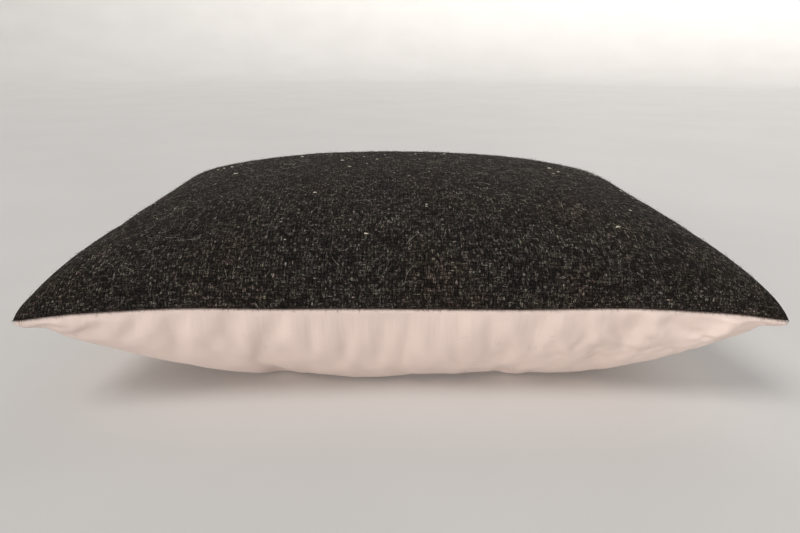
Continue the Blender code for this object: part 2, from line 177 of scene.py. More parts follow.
def opening_share(x):
    """1 where the zip opening parts the two panels, 0 where the seam is closed."""
    return np.clip((OPENING_HALF - np.abs(x)) / (5 * MM), 0, 1)


def blur(field, passes):
    """Smooths a field over the grid, keeping its edge still."""
    for _ in range(passes):
        inner = field[1:-1, 1:-1]
        around = field[:-2, 1:-1] + field[2:, 1:-1] + field[1:-1, :-2] + field[1:-1, 2:]
        field[1:-1, 1:-1] = 0.5 * inner + 0.125 * around
    return field


def deselect_all():
    bpy.ops.object.select_all(action="DESELECT")


def pick(piece):
    """Makes a piece the only one that operators act on."""
    deselect_all()
    bpy.context.view_layer.objects.active = piece
    piece.select_set(True)


def apply_modifier(piece, modifier):
    pick(piece)
    bpy.ops.object.modifier_apply(modifier=modifier.name)


def settle(piece, pinned, slack):
    """Runs the cloth against the pressure of the filling, and applies the result to the mesh."""
    group = piece.vertex_groups.new(name="sewn edge")
    group.add(pinned, 1.0, "REPLACE")
    cloth = piece.modifiers.new("cloth", "CLOTH")
    settings = cloth.settings
    settings.quality = 6
    settings.mass = 0.15
    settings.tension_stiffness = 25
    settings.compression_stiffness = 25
    settings.shear_stiffness = 8
    settings.bending_stiffness = CLOTH_BENDING
    settings.air_damping = 2
    settings.use_pressure = True
    settings.uniform_pressure_force = CLOTH_PRESSURE
    settings.vertex_group_mass = group.name
    settings.shrink_min = -slack
    settings.effector_weights.gravity = 0
    cloth.collision_settings.use_self_collision = False
    cloth.collision_settings.use_collision = False
    scene = bpy.context.scene
    for number in range(1, CLOTH_FRAMES + 1):
        scene.frame_set(number)
    apply_modifier(piece, cloth)
    scene.frame_set(1)
    piece.vertex_groups.clear()


# Shader node helpers

class Wires:
    """Adds nodes to a tree and wires them, working from left to right."""

    def __init__(self, tree):
        self.tree = tree
        self.column = 0

    def node(self, kind, inputs=(), **settings):
        made = self.tree.nodes.new(kind)
        self.column += 1
        made.location = (180 * (self.column % 12), -260 * (self.column // 12))
        for name, value in settings.items():
            setattr(made, name, value)
        for key, value in dict(inputs).items():
            if isinstance(value, bpy.types.NodeSocket):
                self.tree.links.new(value, made.inputs[key])
            else:
                made.inputs[key].default_value = value
        return made

    def math(self, operation, a, b=0.0, c=0.0):
        made = self.node("ShaderNodeMath", {0: a, 1: b, 2: c}, operation=operation)
        return made.outputs[0]

    def ramp(self, value, low, high, to_low=0.0, to_high=1.0):
        made = self.node(
            "ShaderNodeMapRange",
            {0: value, 1: low, 2: high, 3: to_low, 4: to_high},
            interpolation_type="SMOOTHSTEP",
        )
        return made.outputs[0]

    def mix(self, share, a, b, blend="MIX"):
        made = self.node(
            "ShaderNodeMix", {0: share, 6: a, 7: b}, data_type="RGBA", blend_type=blend
        )
        return made.outputs[2]

    def noise(self, vector, scale, detail=2.0, roughness=0.5, output="Fac", distortion=0.0):
        made = self.node(
            "ShaderNodeTexNoise",
            {
                "Vector": vector, "Scale": scale, "Detail": detail,
                "Roughness": roughness, "Distortion": distortion,
            },
        )
        return made.outputs[output]

    def stretched(self, vector, scale):
        made = self.node("ShaderNodeMapping", {"Vector": vector, "Scale": scale})
        return made.outputs[0]

    def split(self, vector):
        return self.node("ShaderNodeSeparateXYZ", {0: vector}).outputs

    def join(self, x, y, z=0.0):
        return self.node("ShaderNodeCombineXYZ", {0: x, 1: y, 2: z}).outputs[0]

    def cloth(self):
        """Where a spot lies on the piece's own cloth, in metres."""
        return self.node("ShaderNodeUVMap", uv_map="cloth").outputs[0]

    def place(self):
        return self.node("ShaderNodeTexCoord").outputs["Object"]

    def shaded(self, colour, level):
        return self.mix(1.0, colour, self.join(level, level, level), "MULTIPLY")

    def ripple(self, turns):
        """A wave from 0 to 1, once for each turn."""
        wave = self.math("SINE", self.math("MULTIPLY", turns, 2 * math.pi))
        return self.math("MULTIPLY_ADD", wave, 0.5, 0.5)

    def bump(self, strength, distance, height, over=None):
        inputs = {"Strength": strength, "Distance": distance, "Height": height}
        if over is not None:
            inputs["Normal"] = over
        return self.node("ShaderNodeBump", inputs).outputs[0]


def new_group(name, inputs, outputs):
    """An empty node group with named sockets; gives its wires and its two end nodes."""
    group = bpy.data.node_groups.new(name, "ShaderNodeTree")
    for socket, (kind, default) in inputs.items():
        made = group.interface.new_socket(socket, in_out="INPUT", socket_type="NodeSocket" + kind)
        if default is not None:
            made.default_value = default
    for socket, kind in outputs.items():
        group.interface.new_socket(socket, in_out="OUTPUT", socket_type="NodeSocket" + kind)
    wires = Wires(group)
    start = wires.node("NodeGroupInput")
    end = wires.node("NodeGroupOutput")
    return group, wires, start.outputs, end.inputs


def woven_cloth(wires, weave, cloth, warp_pitch, weft_pitch, wander):
    """Places the weave group in a material; gives its outputs."""
    inputs = {
        "Cloth": cloth, "Warp Pitch": warp_pitch, "Weft Pitch": weft_pitch, "Wander": wander,
    }
    return wires.node("ShaderNodeGroup", inputs, node_tree=weave).outputs


def new_material(name):
    """A material with only a Principled BSDF; gives the material, its wires and the shader."""
    material = bpy.data.materials.new(name)
    material.use_nodes = True
    return material, Wires(material.node_tree), material.node_tree.nodes["Principled BSDF"]


def feed(wires, shader, socket, value):
    wires.tree.links.new(value, shader.inputs[socket])


def lighter(colour, gain, lift=0.0):
    return (*(min(1, part * gain + lift) for part in colour), 1)


# Shared effects

def plain_weave_group():
    """Two sets of yarns that pass over and under each other, measured in metres of cloth."""
    group, wires, ins, outs = new_group(
        "plain weave",
        {
            "Cloth": ("Vector", None),
            "Warp Pitch": ("Float", 0.002),
            "Weft Pitch": ("Float", 0.002),
            "Wander": ("Float", 0.2),
        },
        {"Height": "Float", "Warp Shade": "Float", "Weft Shade": "Float", "Warp On Top": "Float"},
    )
    x, y, _ = wires.split(ins["Cloth"])
    drift = wires.noise(ins["Cloth"], 55.0, 3.0, 0.6, "Color")
    drift_x, drift_y, _ = wires.split(drift)
    across = wires.math("DIVIDE", x, ins["Warp Pitch"])
    along = wires.math("DIVIDE", y, ins["Weft Pitch"])
    push_x = wires.math("MULTIPLY", wires.math("SUBTRACT", drift_x, 0.5), ins["Wander"])
    push_y = wires.math("MULTIPLY", wires.math("SUBTRACT", drift_y, 0.5), ins["Wander"])
    across = wires.math("ADD", across, push_x)
    along = wires.math("ADD", along, push_y)
    warp_index = wires.math("FLOOR", across)
    weft_index = wires.math("FLOOR", along)
    warp_round = wires.math("SINE", wires.math("MULTIPLY", wires.math("FRACT", across), math.pi))
    weft_round = wires.math("SINE", wires.math("MULTIPLY", wires.math("FRACT", along), math.pi))
    parity = wires.math("MODULO", wires.math("ADD", warp_index, weft_index), 2.0)
    parity = wires.math("ABSOLUTE", parity)
    warp_lift = wires.math("MULTIPLY", warp_round, wires.math("MULTIPLY_ADD", parity, 0.75, 0.25))
    weft_lift = wires.math(
        "MULTIPLY", weft_round, wires.math("MULTIPLY_ADD", parity, -0.75, 1.0)
    )
    warp_lift = wires.math("MULTIPLY", warp_lift, wires.math("POWER", weft_round, 0.35))
    weft_lift = wires.math("MULTIPLY", weft_lift, wires.math("POWER", warp_round, 0.35))
    on_top = wires.math("GREATER_THAN", warp_lift, weft_lift)
    warp_cell = wires.join(warp_index, wires.math("FLOOR", wires.math("MULTIPLY", along, 0.5)))
    weft_half = wires.math("FLOOR", wires.math("MULTIPLY", across, 0.5))
    weft_cell = wires.join(weft_index, weft_half, 7.0)
    warp_shade = wires.node("ShaderNodeTexWhiteNoise", {"Vector": warp_cell}).outputs["Value"]
    weft_shade = wires.node("ShaderNodeTexWhiteNoise", {"Vector": weft_cell}).outputs["Value"]
    links = wires.tree.links
    links.new(wires.math("MAXIMUM", warp_lift, weft_lift), outs["Height"])
    links.new(warp_shade, outs["Warp Shade"])
    links.new(weft_shade, outs["Weft Shade"])
    links.new(on_top, outs["Warp On Top"])
    return group


def weave_effect():
    """The plain weave, built when it is first wanted."""
    return bpy.data.node_groups.get("plain weave") or plain_weave_group()


def wool_material(weave):
    """Hand-woven dark wool and hemp: uneven yarns, pale streaks along each yarn that are painted
    highlights on its fibres, and painted shade between the yarns.
    """
    sizes, colours = bpy.context.scene.cushion_sizes, bpy.context.scene.cushion_colours
    material, wires, shader = new_material("dark woven wool")
    cloth = wires.cloth()
    woven = woven_cloth(wires, weave, cloth, sizes.wool_yarn, sizes.wool_yarn * 1.12, 2.4)
    on_top = woven["Warp On Top"]
    streak_highlight_colour = (*colours.wool_fleck_and_highlight, 1)

    def fibres(scale, low, high):
        noise = wires.noise(wires.stretched(cloth, scale), 1.0, 2.5, 0.6, distortion=0.9)
        return wires.ramp(noise, low, high)

    # Streaks along the yarns and their fibres, painted pale further on as highlights.
    along_warp = fibres((1250.0, 300.0, 1.0), 0.55, 0.67)
    along_weft = fibres((300.0, 1250.0, 1.0), 0.585, 0.70)
    turned = wires.node(
        "ShaderNodeMapping",
        {"Vector": cloth, "Rotation": (0.0, 0.0, 0.7), "Scale": (900.0, 190.0, 1.0)},
    ).outputs[0]
    crossing = wires.ramp(wires.noise(turned, 1.0, 2.0, 0.5), 0.66, 0.72, 0.0, 0.8)
    lying = wires.math("MULTIPLY", along_warp, wires.math("MULTIPLY_ADD", on_top, 0.45, 0.55))
    hairs = wires.math("MAXIMUM", lying, wires.math("MAXIMUM", along_weft, crossing))
    cell = wires.mix(on_top, woven["Weft Shade"], woven["Warp Shade"])
    level = wires.ramp(cell, 0.0, 1.0, 0.45, 1.55)
    colour = wires.shaded((*colours.wool, 1), level)
    # Painted highlight mask: the streaks, scaled by each yarn's tone and dimmed as painted shade in
    # the weave's valleys.
    streak_highlight_mask = wires.math("MULTIPLY", hairs, wires.ramp(cell, 0.1, 0.95, 0.15, 0.8))
    streak_highlight_mask = wires.math("MULTIPLY", streak_highlight_mask, wires.ramp(woven["Height"], 0.05, 0.6, 0.4, 1.0))
    # Painted shade in the valleys between the yarns.
    valley_shade = wires.ramp(woven["Height"], 0.1, 0.75, 0.2, 1.0)
    colour = wires.shaded(colour, valley_shade)
    tint = wires.noise(cloth, 420.0, 1.0, 0.5, "Color")
    # Colour of the painted highlights, varied in tint.
    tinted_highlight = wires.mix(0.35, streak_highlight_colour, tint, "OVERLAY")
    colour = wires.mix(streak_highlight_mask, colour, tinted_highlight)
    neps = fibres((520.0, 430.0, 1.0), 0.715, 0.76)
    colour = wires.mix(wires.math("MULTIPLY", neps, 0.4), colour, (*colours.wool_nep, 1))
    patches = wires.noise(cloth, 24.0, 3.0, 0.55)
    warmth = wires.noise(cloth, 10.0, 2.0, 0.5)
    colour = wires.mix(
        wires.ramp(patches, 0.35, 0.68, 0.0, 0.7), colour, (1.4, 1.38, 1.32, 1), "MULTIPLY"
    )
    colour = wires.mix(
        wires.ramp(warmth, 0.42, 0.66, 0.0, 0.45), colour, (1.2, 0.97, 0.82, 1), "MULTIPLY"
    )
    feed(wires, shader, "Base Color", colour)
    rise = wires.math("MULTIPLY_ADD", hairs, 0.35, woven["Height"])
    feed(wires, shader, "Normal", wires.bump(0.85, 0.8 * MM, rise))
    feed(wires, shader, "Roughness", wires.ramp(hairs, 0.0, 1.0, 0.95, 0.8))
    shader.inputs["Specular IOR Level"].default_value = 0.12
    shader.inputs["Sheen Weight"].default_value = 0.02
    shader.inputs["Sheen Roughness"].default_value = 0.5
    shader.inputs["Sheen Tint"].default_value = (0.6, 0.5, 0.43, 1)
    return material


def cotton_creases(wires, cloth):
    """Fine puckers that run off the sewn edges, and a few long thin creases where it was folded."""
    _, length = even_steps(-1, True, 2)
    _, depth = even_steps(-1, False, 2)
    x, y, _ = wires.split(cloth)
    from_ends = wires.math("SUBTRACT", length / 2, wires.math("ABSOLUTE", x))
    from_sides = wires.math("SUBTRACT", depth / 2, wires.math("ABSOLUTE", y))
    near_ends = wires.ramp(from_ends, 2 * MM, 42 * MM, 1.0, 0.0)
    near_sides = wires.ramp(from_sides, 2 * MM, 55 * MM, 1.0, 0.0)
    upright = wires.noise(wires.stretched(cloth, (105.0, 11.0, 1.0)), 1.0, 2.5, 0.55)
    level = wires.noise(wires.stretched(cloth, (11.0, 105.0, 1.0)), 1.0, 2.5, 0.55)
    puckers = wires.math("MULTIPLY", upright, near_sides)
    puckers = wires.math("ADD", puckers, wires.math("MULTIPLY", level, near_ends))
    folded = wires.noise(cloth, 7.0, 1.5, distortion=0.6)
    ridge = wires.math("ABSOLUTE", wires.math("SUBTRACT", folded, 0.5))
    return wires.math("ADD", puckers, wires.ramp(ridge, 0.0, 0.012, 0.07, 0.0))


def cotton_material(weave):
    """Plain cotton with a fine close weave, slightly uneven in its dye."""
    colours = bpy.context.scene.cushion_colours
    material, wires, shader = new_material("pale cotton")
    cloth = wires.cloth()
    woven = woven_cloth(wires, weave, cloth, 0.55 * MM, 0.6 * MM, 0.8)
    uneven = wires.noise(cloth, 16.0, 4.0, 0.55)
    slub = wires.noise(wires.stretched(cloth, (60.0, 1400.0, 1.0)), 1.0, 2.0, 0.5)
    pale = lighter(colours.cotton, 1.07)
    colour = wires.mix(wires.ramp(uneven, 0.3, 0.7), (*colours.cotton, 1), pale)
    colour = wires.mix(wires.ramp(slub, 0.55, 0.75, 0.0, 0.25), colour, (0.84, 0.71, 0.63, 1))
    # Painted shade between the yarns of the weave.
    shade = wires.ramp(woven["Height"], 0.0, 0.6, 0.90, 1.0)
    feed(wires, shader, "Base Color", wires.shaded(colour, shade))
    rise = wires.math("MULTIPLY_ADD", slub, 0.6, woven["Height"])
    fine = wires.bump(0.35, 0.12 * MM, rise)
    creased = wires.bump(0.8, 1.6 * MM, cotton_creases(wires, cloth), fine)
    feed(wires, shader, "Normal", creased)
    feed(wires, shader, "Roughness", wires.ramp(uneven, 0.3, 0.7, 0.82, 0.92))
    shader.inputs["Specular IOR Level"].default_value = 0.3
    shader.inputs["Sheen Weight"].default_value = 0.15
    shader.inputs["Sheen Roughness"].default_value = 0.5
    return material


def thread_material(name, colour, roughness=0.75):
    """Sewing thread: plies twisted round each other, with a painted highlight where they stand out.
    """
    material, wires, shader = new_material(name)
    along, around, _ = wires.split(wires.cloth())
    twist = wires.math("MULTIPLY_ADD", along, 1300.0, wires.math("MULTIPLY", around, 3.0))
    ply = wires.ripple(twist)
    # The raised plies are painted lighter as a highlight.
    feed(wires, shader, "Base Color", wires.mix(ply, (*colour, 1), lighter(colour, 1.45, 0.004)))
    feed(wires, shader, "Normal", wires.bump(0.5, 0.08 * MM, ply))
    feed(wires, shader, "Roughness", wires.ramp(ply, 0.0, 1.0, roughness + 0.12, roughness - 0.1))
    shader.inputs["Sheen Weight"].default_value = 0.1
    return material


def fibre_material(name, dark, pale):
    """Loose wool fibres, each with its own tone."""
    material, wires, shader = new_material(name)
    _, tone, _ = wires.split(wires.cloth())
    colour = wires.mix(wires.ramp(tone, 0.0, 1.0), (*dark, 1), (*pale, 1))
    feed(wires, shader, "Base Color", colour)
    feed(wires, shader, "Roughness", wires.ramp(tone, 0.0, 1.0, 0.9, 0.7))
    shader.inputs["Specular IOR Level"].default_value = 0.2
    return material


def tape_material():
    """Zip tape: herringbone in narrow columns, with a painted highlight along the crest of each rib.
    """
    colours = bpy.context.scene.cushion_colours
    material, wires, shader = new_material("zip tape")
    x, y, _ = wires.split(wires.cloth())
    column = wires.math("DIVIDE", y, 1.4 * MM)
    lean = wires.math("PINGPONG", column, 1.0)
    rib = wires.math("MULTIPLY_ADD", lean, 1.6, wires.math("DIVIDE", x, 0.55 * MM))
    rib = wires.ripple(rib)
    # Lighter colour for the painted highlight on the rib crests.
    light = lighter(colours.zip_tape, 1.9, 0.004)
    feed(wires, shader, "Base Color", wires.mix(rib, (*colours.zip_tape, 1), light))
    feed(wires, shader, "Normal", wires.bump(0.7, 0.12 * MM, rib))
    feed(wires, shader, "Roughness", wires.ramp(rib, 0.0, 1.0, 0.85, 0.65))
    return material


def coil_material():
    """Drawn nylon: smooth, with faint lines along the filament."""
    colours = bpy.context.scene.cushion_colours
    material, wires, shader = new_material("zip coil")
    cloth = wires.cloth()
    lines = wires.noise(wires.stretched(cloth, (900.0, 9.0, 1.0)), 1.0, 2.0, 0.5)
    dark, light = lighter(colours.zip_tape, 2), lighter(colours.zip_tape, 3.2)
    colour = wires.mix(wires.ramp(lines, 0.35, 0.65), dark, light)
    feed(wires, shader, "Base Color", colour)
    feed(wires, shader, "Roughness", wires.ramp(lines, 0.35, 0.65, 0.28, 0.42))
    return material


def metal_material():
    """Dark plated metal: brushed along the zip, lighter where handling has worn it."""
    colours = bpy.context.scene.cushion_colours
    material, wires, shader = new_material("dark plated metal")
    place = wires.place()
    brushed = wires.noise(wires.stretched(place, (350.0, 6000.0, 9000.0)), 1.0, 3.0, 0.6)
    worn = wires.noise(place, 2600.0, 3.0, 0.6)
    light = lighter(colours.zip_metal, 1.3)
    colour = wires.mix(wires.ramp(worn, 0.35, 0.75), (*colours.zip_metal, 1), light)
    feed(wires, shader, "Base Color", colour)
    feed(wires, shader, "Roughness", wires.ramp(brushed, 0.3, 0.7, 0.26, 0.44))
    feed(wires, shader, "Normal", wires.bump(0.25, 0.02 * MM, brushed))
    shader.inputs["Metallic"].default_value = 1.0
    return material


def casing_material(weave):
    """Thin calico of the insert."""
    material, wires, shader = new_material("calico")
    cloth = wires.cloth()
    woven = woven_cloth(wires, weave, cloth, 0.5 * MM, 0.5 * MM, 0.6)
    specks = wires.noise(cloth, 700.0, 2.0, 0.5)
    # The calico's colour, darker in the weave's hollows: painted shade between the yarns.
    shade = wires.mix(woven["Height"], (0.66, 0.64, 0.58, 1), (0.80, 0.78, 0.72, 1))
    colour = wires.mix(wires.ramp(specks, 0.7, 0.76, 0.0, 0.5), shade, (0.45, 0.36, 0.25, 1))
    feed(wires, shader, "Base Color", colour)
    feed(wires, shader, "Normal", wires.bump(0.4, 0.1 * MM, woven["Height"]))
    feed(wires, shader, "Roughness", wires.ramp(specks, 0.3, 0.7, 0.84, 0.92))
    return material


def filling_material():
    """Crimped polyester fibre."""
    material, wires, shader = new_material("fibre filling")
    place = wires.place()
    crimp = wires.noise(place, 380.0, 4.0, 0.7, distortion=2.5)
    colour = wires.mix(wires.ramp(crimp, 0.3, 0.7), (0.70, 0.70, 0.69, 1), (0.88, 0.88, 0.87, 1))
    feed(wires, shader, "Base Color", colour)
    feed(wires, shader, "Normal", wires.bump(0.8, 0.8 * MM, crimp))
    feed(wires, shader, "Roughness", wires.ramp(crimp, 0.3, 0.7, 0.9, 1.0))
    shader.inputs["Sheen Weight"].default_value = 0.3
    return material


# Cover panels

def skirt_rows(x, y, u, v, side, depth, hem):
    """Places of the allowance beyond the edge: depth says how far in, from 0 to SKIRT - 1."""
    inset, drop = ALLOWANCE_ROWS[depth]
    flat_x, flat_y = plan(u, v, inset * MM)
    flat_z = np.full_like(flat_x, SEAM_HEIGHT + side * drop * MM)
    back, rise = HEM_ROWS[depth]
    hem_y = REAR_WALL_Y - back * MM
    hem_z = SEAM_HEIGHT + side * (LIP_HALF_GAP + rise * MM)
    y_out = flat_y + (hem_y - flat_y) * hem
    z_out = flat_z + (hem_z - flat_z) * hem
    return np.stack([flat_x + (x - flat_x) * hem, y_out, z_out], -1)


def open_lips(points, side):
    """Parts the rear edge of a panel along the zip opening."""
    x, y, z = points[..., 0], points[..., 1], points[..., 2]
    near = np.clip(1 - np.abs(z - SEAM_HEIGHT) / SIDE_WALL, 0, 1)
    share = opening_share(x) * near * (y > 0.6 * REAR_WALL_Y)
    z += side * LIP_HALF_GAP * share
    return points


def panel_grid(side, columns, rows):
    """Grid values, points and cloth coordinates of a panel, without its allowances."""
    u_values, cloth_length = even_steps(side, True, columns)
    v_values, cloth_depth = even_steps(side, False, rows)
    u, v = np.meshgrid(u_values, v_values)
    cloth_x = np.linspace(-cloth_length / 2, cloth_length / 2, columns + 1)
    cloth_y = np.linspace(-cloth_depth / 2, cloth_depth / 2, rows + 1)
    return u, v, panel_points(u, v, side), np.stack(np.meshgrid(cloth_x, cloth_y), -1)


def grid_object(name, points, cloth, side):
    """A sheet of cells through a grid of points, with its cloth coordinates as UVs."""
    rows, columns = points.shape[0] - 1, points.shape[1] - 1
    bpy.ops.mesh.primitive_grid_add(
        x_subdivisions=columns, y_subdivisions=rows, size=2, location=(0, 0, 0)
    )
    piece = bpy.context.object
    piece.name = name
    mesh = piece.data
    mesh.name = name
    places = np.empty(len(mesh.vertices) * 3, np.float32)
    mesh.vertices.foreach_get("co", places)
    places = places.reshape(-1, 3)
    column = np.round((places[:, 0] + 1) / 2 * columns).astype(int)
    row = np.round((places[:, 1] + 1) / 2 * rows).astype(int)
    mesh.vertices.foreach_set("co", points[row, column].astype(np.float32).ravel())
    corners = np.empty(len(mesh.loops), np.int32)
    mesh.loops.foreach_get("vertex_index", corners)
    mesh.uv_layers[0].name = "cloth"
    mesh.uv_layers[0].data.foreach_set("uv", cloth[row, column][corners].astype(np.float32).ravel())
    if side < 0:
        mesh.flip_normals()
    mesh.update()
    return piece, row, column


def read_grid(piece, shape, row, column):
    places = np.empty(len(piece.data.vertices) * 3, np.float32)
    piece.data.vertices.foreach_get("co", places)
    points = np.zeros(shape)
    points[row, column] = places.reshape(-1, 3)
    return points


def settled_points(side, points, cloth, slack, keep, seed):
    """Lets the panel buckle in a cloth simulation and lays those wrinkles on the cushion's form."""
    seeds = np.random.default_rng(seed)
    bumps = blur(seeds.normal(size=points.shape[:2]), 6)
    start = points.copy()
    start[..., 2] -= side * bumps / np.abs(bumps).max() * 1.5 * MM
    piece, row, column = grid_object("settling", start, cloth, side)
    last_row, last_column = points.shape[0] - 1, points.shape[1] - 1
    edge = (row == 0) | (row == last_row) | (column == 0) | (column == last_column)
    settle(piece, np.nonzero(edge)[0].tolist(), slack)
    moved = read_grid(piece, points.shape, row, column) - points
    bpy.data.objects.remove(piece)
    broad = blur(moved.copy(), BROAD_PASSES)
    wrinkles = blur(moved - broad, 2)
    size = np.linalg.norm(wrinkles, axis=-1, keepdims=True)
    wrinkles *= np.minimum(1, DEEPEST_WRINKLE / np.maximum(size, 1e-9))
    return points + keep * wrinkles


def gathers(u, v, points, side, seed):
    """Sharp little pleats that run off the sewn edge, deepest to the right of the front."""
    if side > 0:
        return 0.0
    seeds = np.random.default_rng(seed + 100)
    shifts = np.zeros_like(points)
    edge_x = (1 - np.abs(u)) * HALF_LENGTH * 1.35
    edge_y = (1 - np.abs(v)) * HALF_DEPTH * 1.6
    for along, edge, spread, sign in (
        (points[..., 0], edge_y, 26 * MM, v), (points[..., 1], edge_x, 20 * MM, u),
    ):
        for turns, depth in ((1 / (21 * MM), 1.0), (1 / (34 * MM), 0.8)):
            knots = np.linspace(-0.3, 0.3, 40)
            drift = np.interp(along.ravel(), knots, seeds.normal(size=40) * 1.1)
            slant = 1 + 0.5 * edge / (40 * MM)
            drift = drift.reshape(along.shape)
            wave = np.sin(along * turns * 2 * math.pi / slant + drift + np.sign(sign))
            pleat = np.abs(wave) ** 0.7 - 0.6
            fade = np.exp(-((edge / spread) ** 2)) * np.clip(edge / (5 * MM), 0, 1)
            strong = 0.95 + 3.0 * np.clip(1 - np.abs(u - 0.68) / 0.45, 0, 1) * (v < 0)
            rise = PLEAT_DEPTH * depth * pleat * fade * strong
            shifts[..., 2] -= rise * 0.8
            shifts[..., 1] += rise * np.sign(v) * (edge is edge_y)
            shifts[..., 0] += rise * np.sign(u) * (edge is edge_x)
    return shifts * away_from_corners(u, v)[..., None]


def widened(grid, rows):
    """A grid with its edge repeated on all sides."""
    return np.pad(grid, [(rows, rows)] * 2 + [(0, 0)] * (grid.ndim - 2), mode="edge")


def rings(grid, rows):
    """How many rows each spot of a widened grid lies beyond the edge, along x and along y."""
    beyond_y, beyond_x = (
        np.pad(np.zeros(size, int), rows, mode="linear_ramp", end_values=rows)
        for size in grid.shape[:2]
    )
    return np.meshgrid(beyond_x, beyond_y)


def add_skirt(points, cloth, u, v, side):
    """Wraps the grid in the rows of its allowance and hem."""
    wide = widened(points, SKIRT)
    step_x = cloth[0, 1, 0] - cloth[0, 0, 0]
    step_y = cloth[1, 0, 1] - cloth[0, 0, 1]
    wide_cloth, wide_u, wide_v = (widened(grid, SKIRT) for grid in (cloth, u, v))
    over_x, over_y = rings(points, SKIRT)
    over = np.maximum(over_x, over_y)
    wide_cloth[..., 0] += np.sign(wide_u) * over_x * step_x
    wide_cloth[..., 1] += np.sign(wide_v) * over_y * step_y
    for depth in range(SKIRT):
        ring = over == depth + 1
        hem = opening_share(wide[..., 0]) * (wide_v > 0.999)
        rows = skirt_rows(wide[..., 0], wide[..., 1], wide_u, wide_v, side, depth, hem)
        wide[ring] = rows[ring]
    return wide, wide_cloth


def finish_panel(piece, thickness, material):
    """Welds the mitred corners of the allowance, refines the cloth and gives it thickness."""
    pick(piece)
    bpy.ops.object.mode_set(mode="EDIT")
    bpy.ops.mesh.select_all(action="SELECT")
    bpy.ops.mesh.remove_doubles(threshold=0.02 * MM)
    bpy.ops.object.mode_set(mode="OBJECT")
    finer = piece.modifiers.new("finer cloth", "SUBSURF")
    finer.levels = finer.render_levels = 1
    apply_modifier(piece, finer)
    thicker = piece.modifiers.new("thickness", "SOLIDIFY")
    thicker.thickness = thickness
    thicker.offset = -1
    apply_modifier(piece, thicker)
    piece.data.materials.clear()
    piece.data.materials.append(material)
    bpy.ops.object.shade_smooth()


# Threads, fibres and wires

def tubes(name, paths, radius, sides, material, tones=None, taper=0.0, profile=None):
    """One mesh of round threads, all with the same number of points along them."""
    paths = np.asarray(paths, float)
    count, steps = paths.shape[:2]
    ahead = np.gradient(paths, axis=1)
    ahead /= np.maximum(np.linalg.norm(ahead, axis=-1, keepdims=True), 1e-12)
    aside = np.cross(ahead, np.array([0.31, 0.23, 0.92]))
    aside /= np.maximum(np.linalg.norm(aside, axis=-1, keepdims=True), 1e-12)
    over = np.cross(ahead, aside)
    turn = np.arange(sides) / sides * 2 * math.pi
    along = np.linspace(0, 1, steps)
    shape = 1 - taper * along if profile is None else np.asarray(profile)
    width = np.broadcast_to(np.asarray(radius, float), (count,))[:, None] * shape
    ring = (
        paths[:, :, None]
        + width[:, :, None, None]
        * (
            np.cos(turn)[:, None] * aside[:, :, None]
            + np.sin(turn)[:, None] * over[:, :, None]
        )
    )
    corner = np.arange(count * steps * sides).reshape(count, steps, sides)
    following = np.roll(corner, -1, axis=2)
    walls = np.stack(
        [corner[:, :-1], corner[:, 1:], following[:, 1:], following[:, :-1]], -1
    ).reshape(-1, 4)
    faces = walls.tolist() + corner[:, 0].tolist() + corner[:, -1, ::-1].tolist()
    mesh = bpy.data.meshes.new(name)
    mesh.from_pydata(ring.reshape(-1, 3).tolist(), [], faces)
    lengths = np.concatenate(
        [
            np.zeros((count, 1)),
            np.cumsum(np.linalg.norm(np.diff(paths, axis=1), axis=-1), axis=1),
        ],
        1,
    )
    if tones is None:
        second = np.broadcast_to(np.arange(sides) / sides, (count, steps, sides))
    else:
        second = np.broadcast_to(np.asarray(tones)[:, None, None], (count, steps, sides))
    first = np.broadcast_to(lengths[:, :, None], (count, steps, sides))
    uv = np.stack([first, second], -1).reshape(-1, 2)
    used = np.empty(len(mesh.loops), np.int32)
    mesh.loops.foreach_get("vertex_index", used)
    mesh.uv_layers.new(name="cloth").data.foreach_set("uv", uv[used].astype(np.float32).ravel())
    mesh.polygons.foreach_set("use_smooth", [True] * len(mesh.polygons))
    mesh.materials.append(material)
    mesh.update()
    piece = bpy.data.objects.new(name, mesh)
    bpy.context.scene.collection.objects.link(piece)
    return piece


def surface_of(name):
    """A tree of a finished piece's faces, to lay threads and fibres on."""
    return BVHTree.FromObject(bpy.data.objects[name], bpy.context.evaluated_depsgraph_get())


def on_surface(trees, start, direction, missing):
    """The first place that a ray meets any of the surfaces, or the missing value."""
    nearest = None
    for tree in trees:
        place, normal, _, distance = tree.ray_cast(Vector(start), Vector(direction), 0.08)
        if place is not None and (nearest is None or distance < nearest[2]):
            nearest = (place, normal, distance)
    return nearest[:2] if nearest else (Vector(missing), Vector(direction) * -1)


def strewn_places(tree, u, v, side):
    """Where spots of a panel, given by u and v, lie on its finished cloth, and which way is out."""
    here = panel_points(u, v, side)
    across = panel_points(u + 0.004, v, side) - panel_points(u - 0.004, v, side)
    deep = panel_points(u, v + 0.004, side) - panel_points(u, v - 0.004, side)
    out = side * np.cross(across, deep)
    out /= np.linalg.norm(out, axis=-1, keepdims=True)
    places = here.copy()
    for number in range(len(here)):
        start = here[number] + out[number] * 14 * MM
        place, normal = on_surface([tree], start, -out[number], here[number])
        places[number] = place
        out[number] = normal
    return places, out


def hairs(places, out, lengths, lifts, curls, seeds):
    """Curved fibres that start on a cloth and lean over it."""
    any_way = seeds.normal(size=places.shape)
    flat = any_way - (any_way * out).sum(-1, keepdims=True) * out
    flat /= np.linalg.norm(flat, axis=-1, keepdims=True)
    sideways = np.cross(flat, out) * seeds.uniform(-1, 1, (len(places), 1))
    steps = np.linspace(0, 1, 6)[None, :, None]
    lean = (flat * np.cos(lifts)[:, None] + out * np.sin(lifts)[:, None])[:, None]
    bend = (sideways * curls[:, None] - out * (0.6 * np.sin(lifts))[:, None])[:, None]
    roots = (places - out * 0.3 * MM)[:, None]
    return roots + lengths[:, None, None] * (lean * steps + bend * steps ** 2)


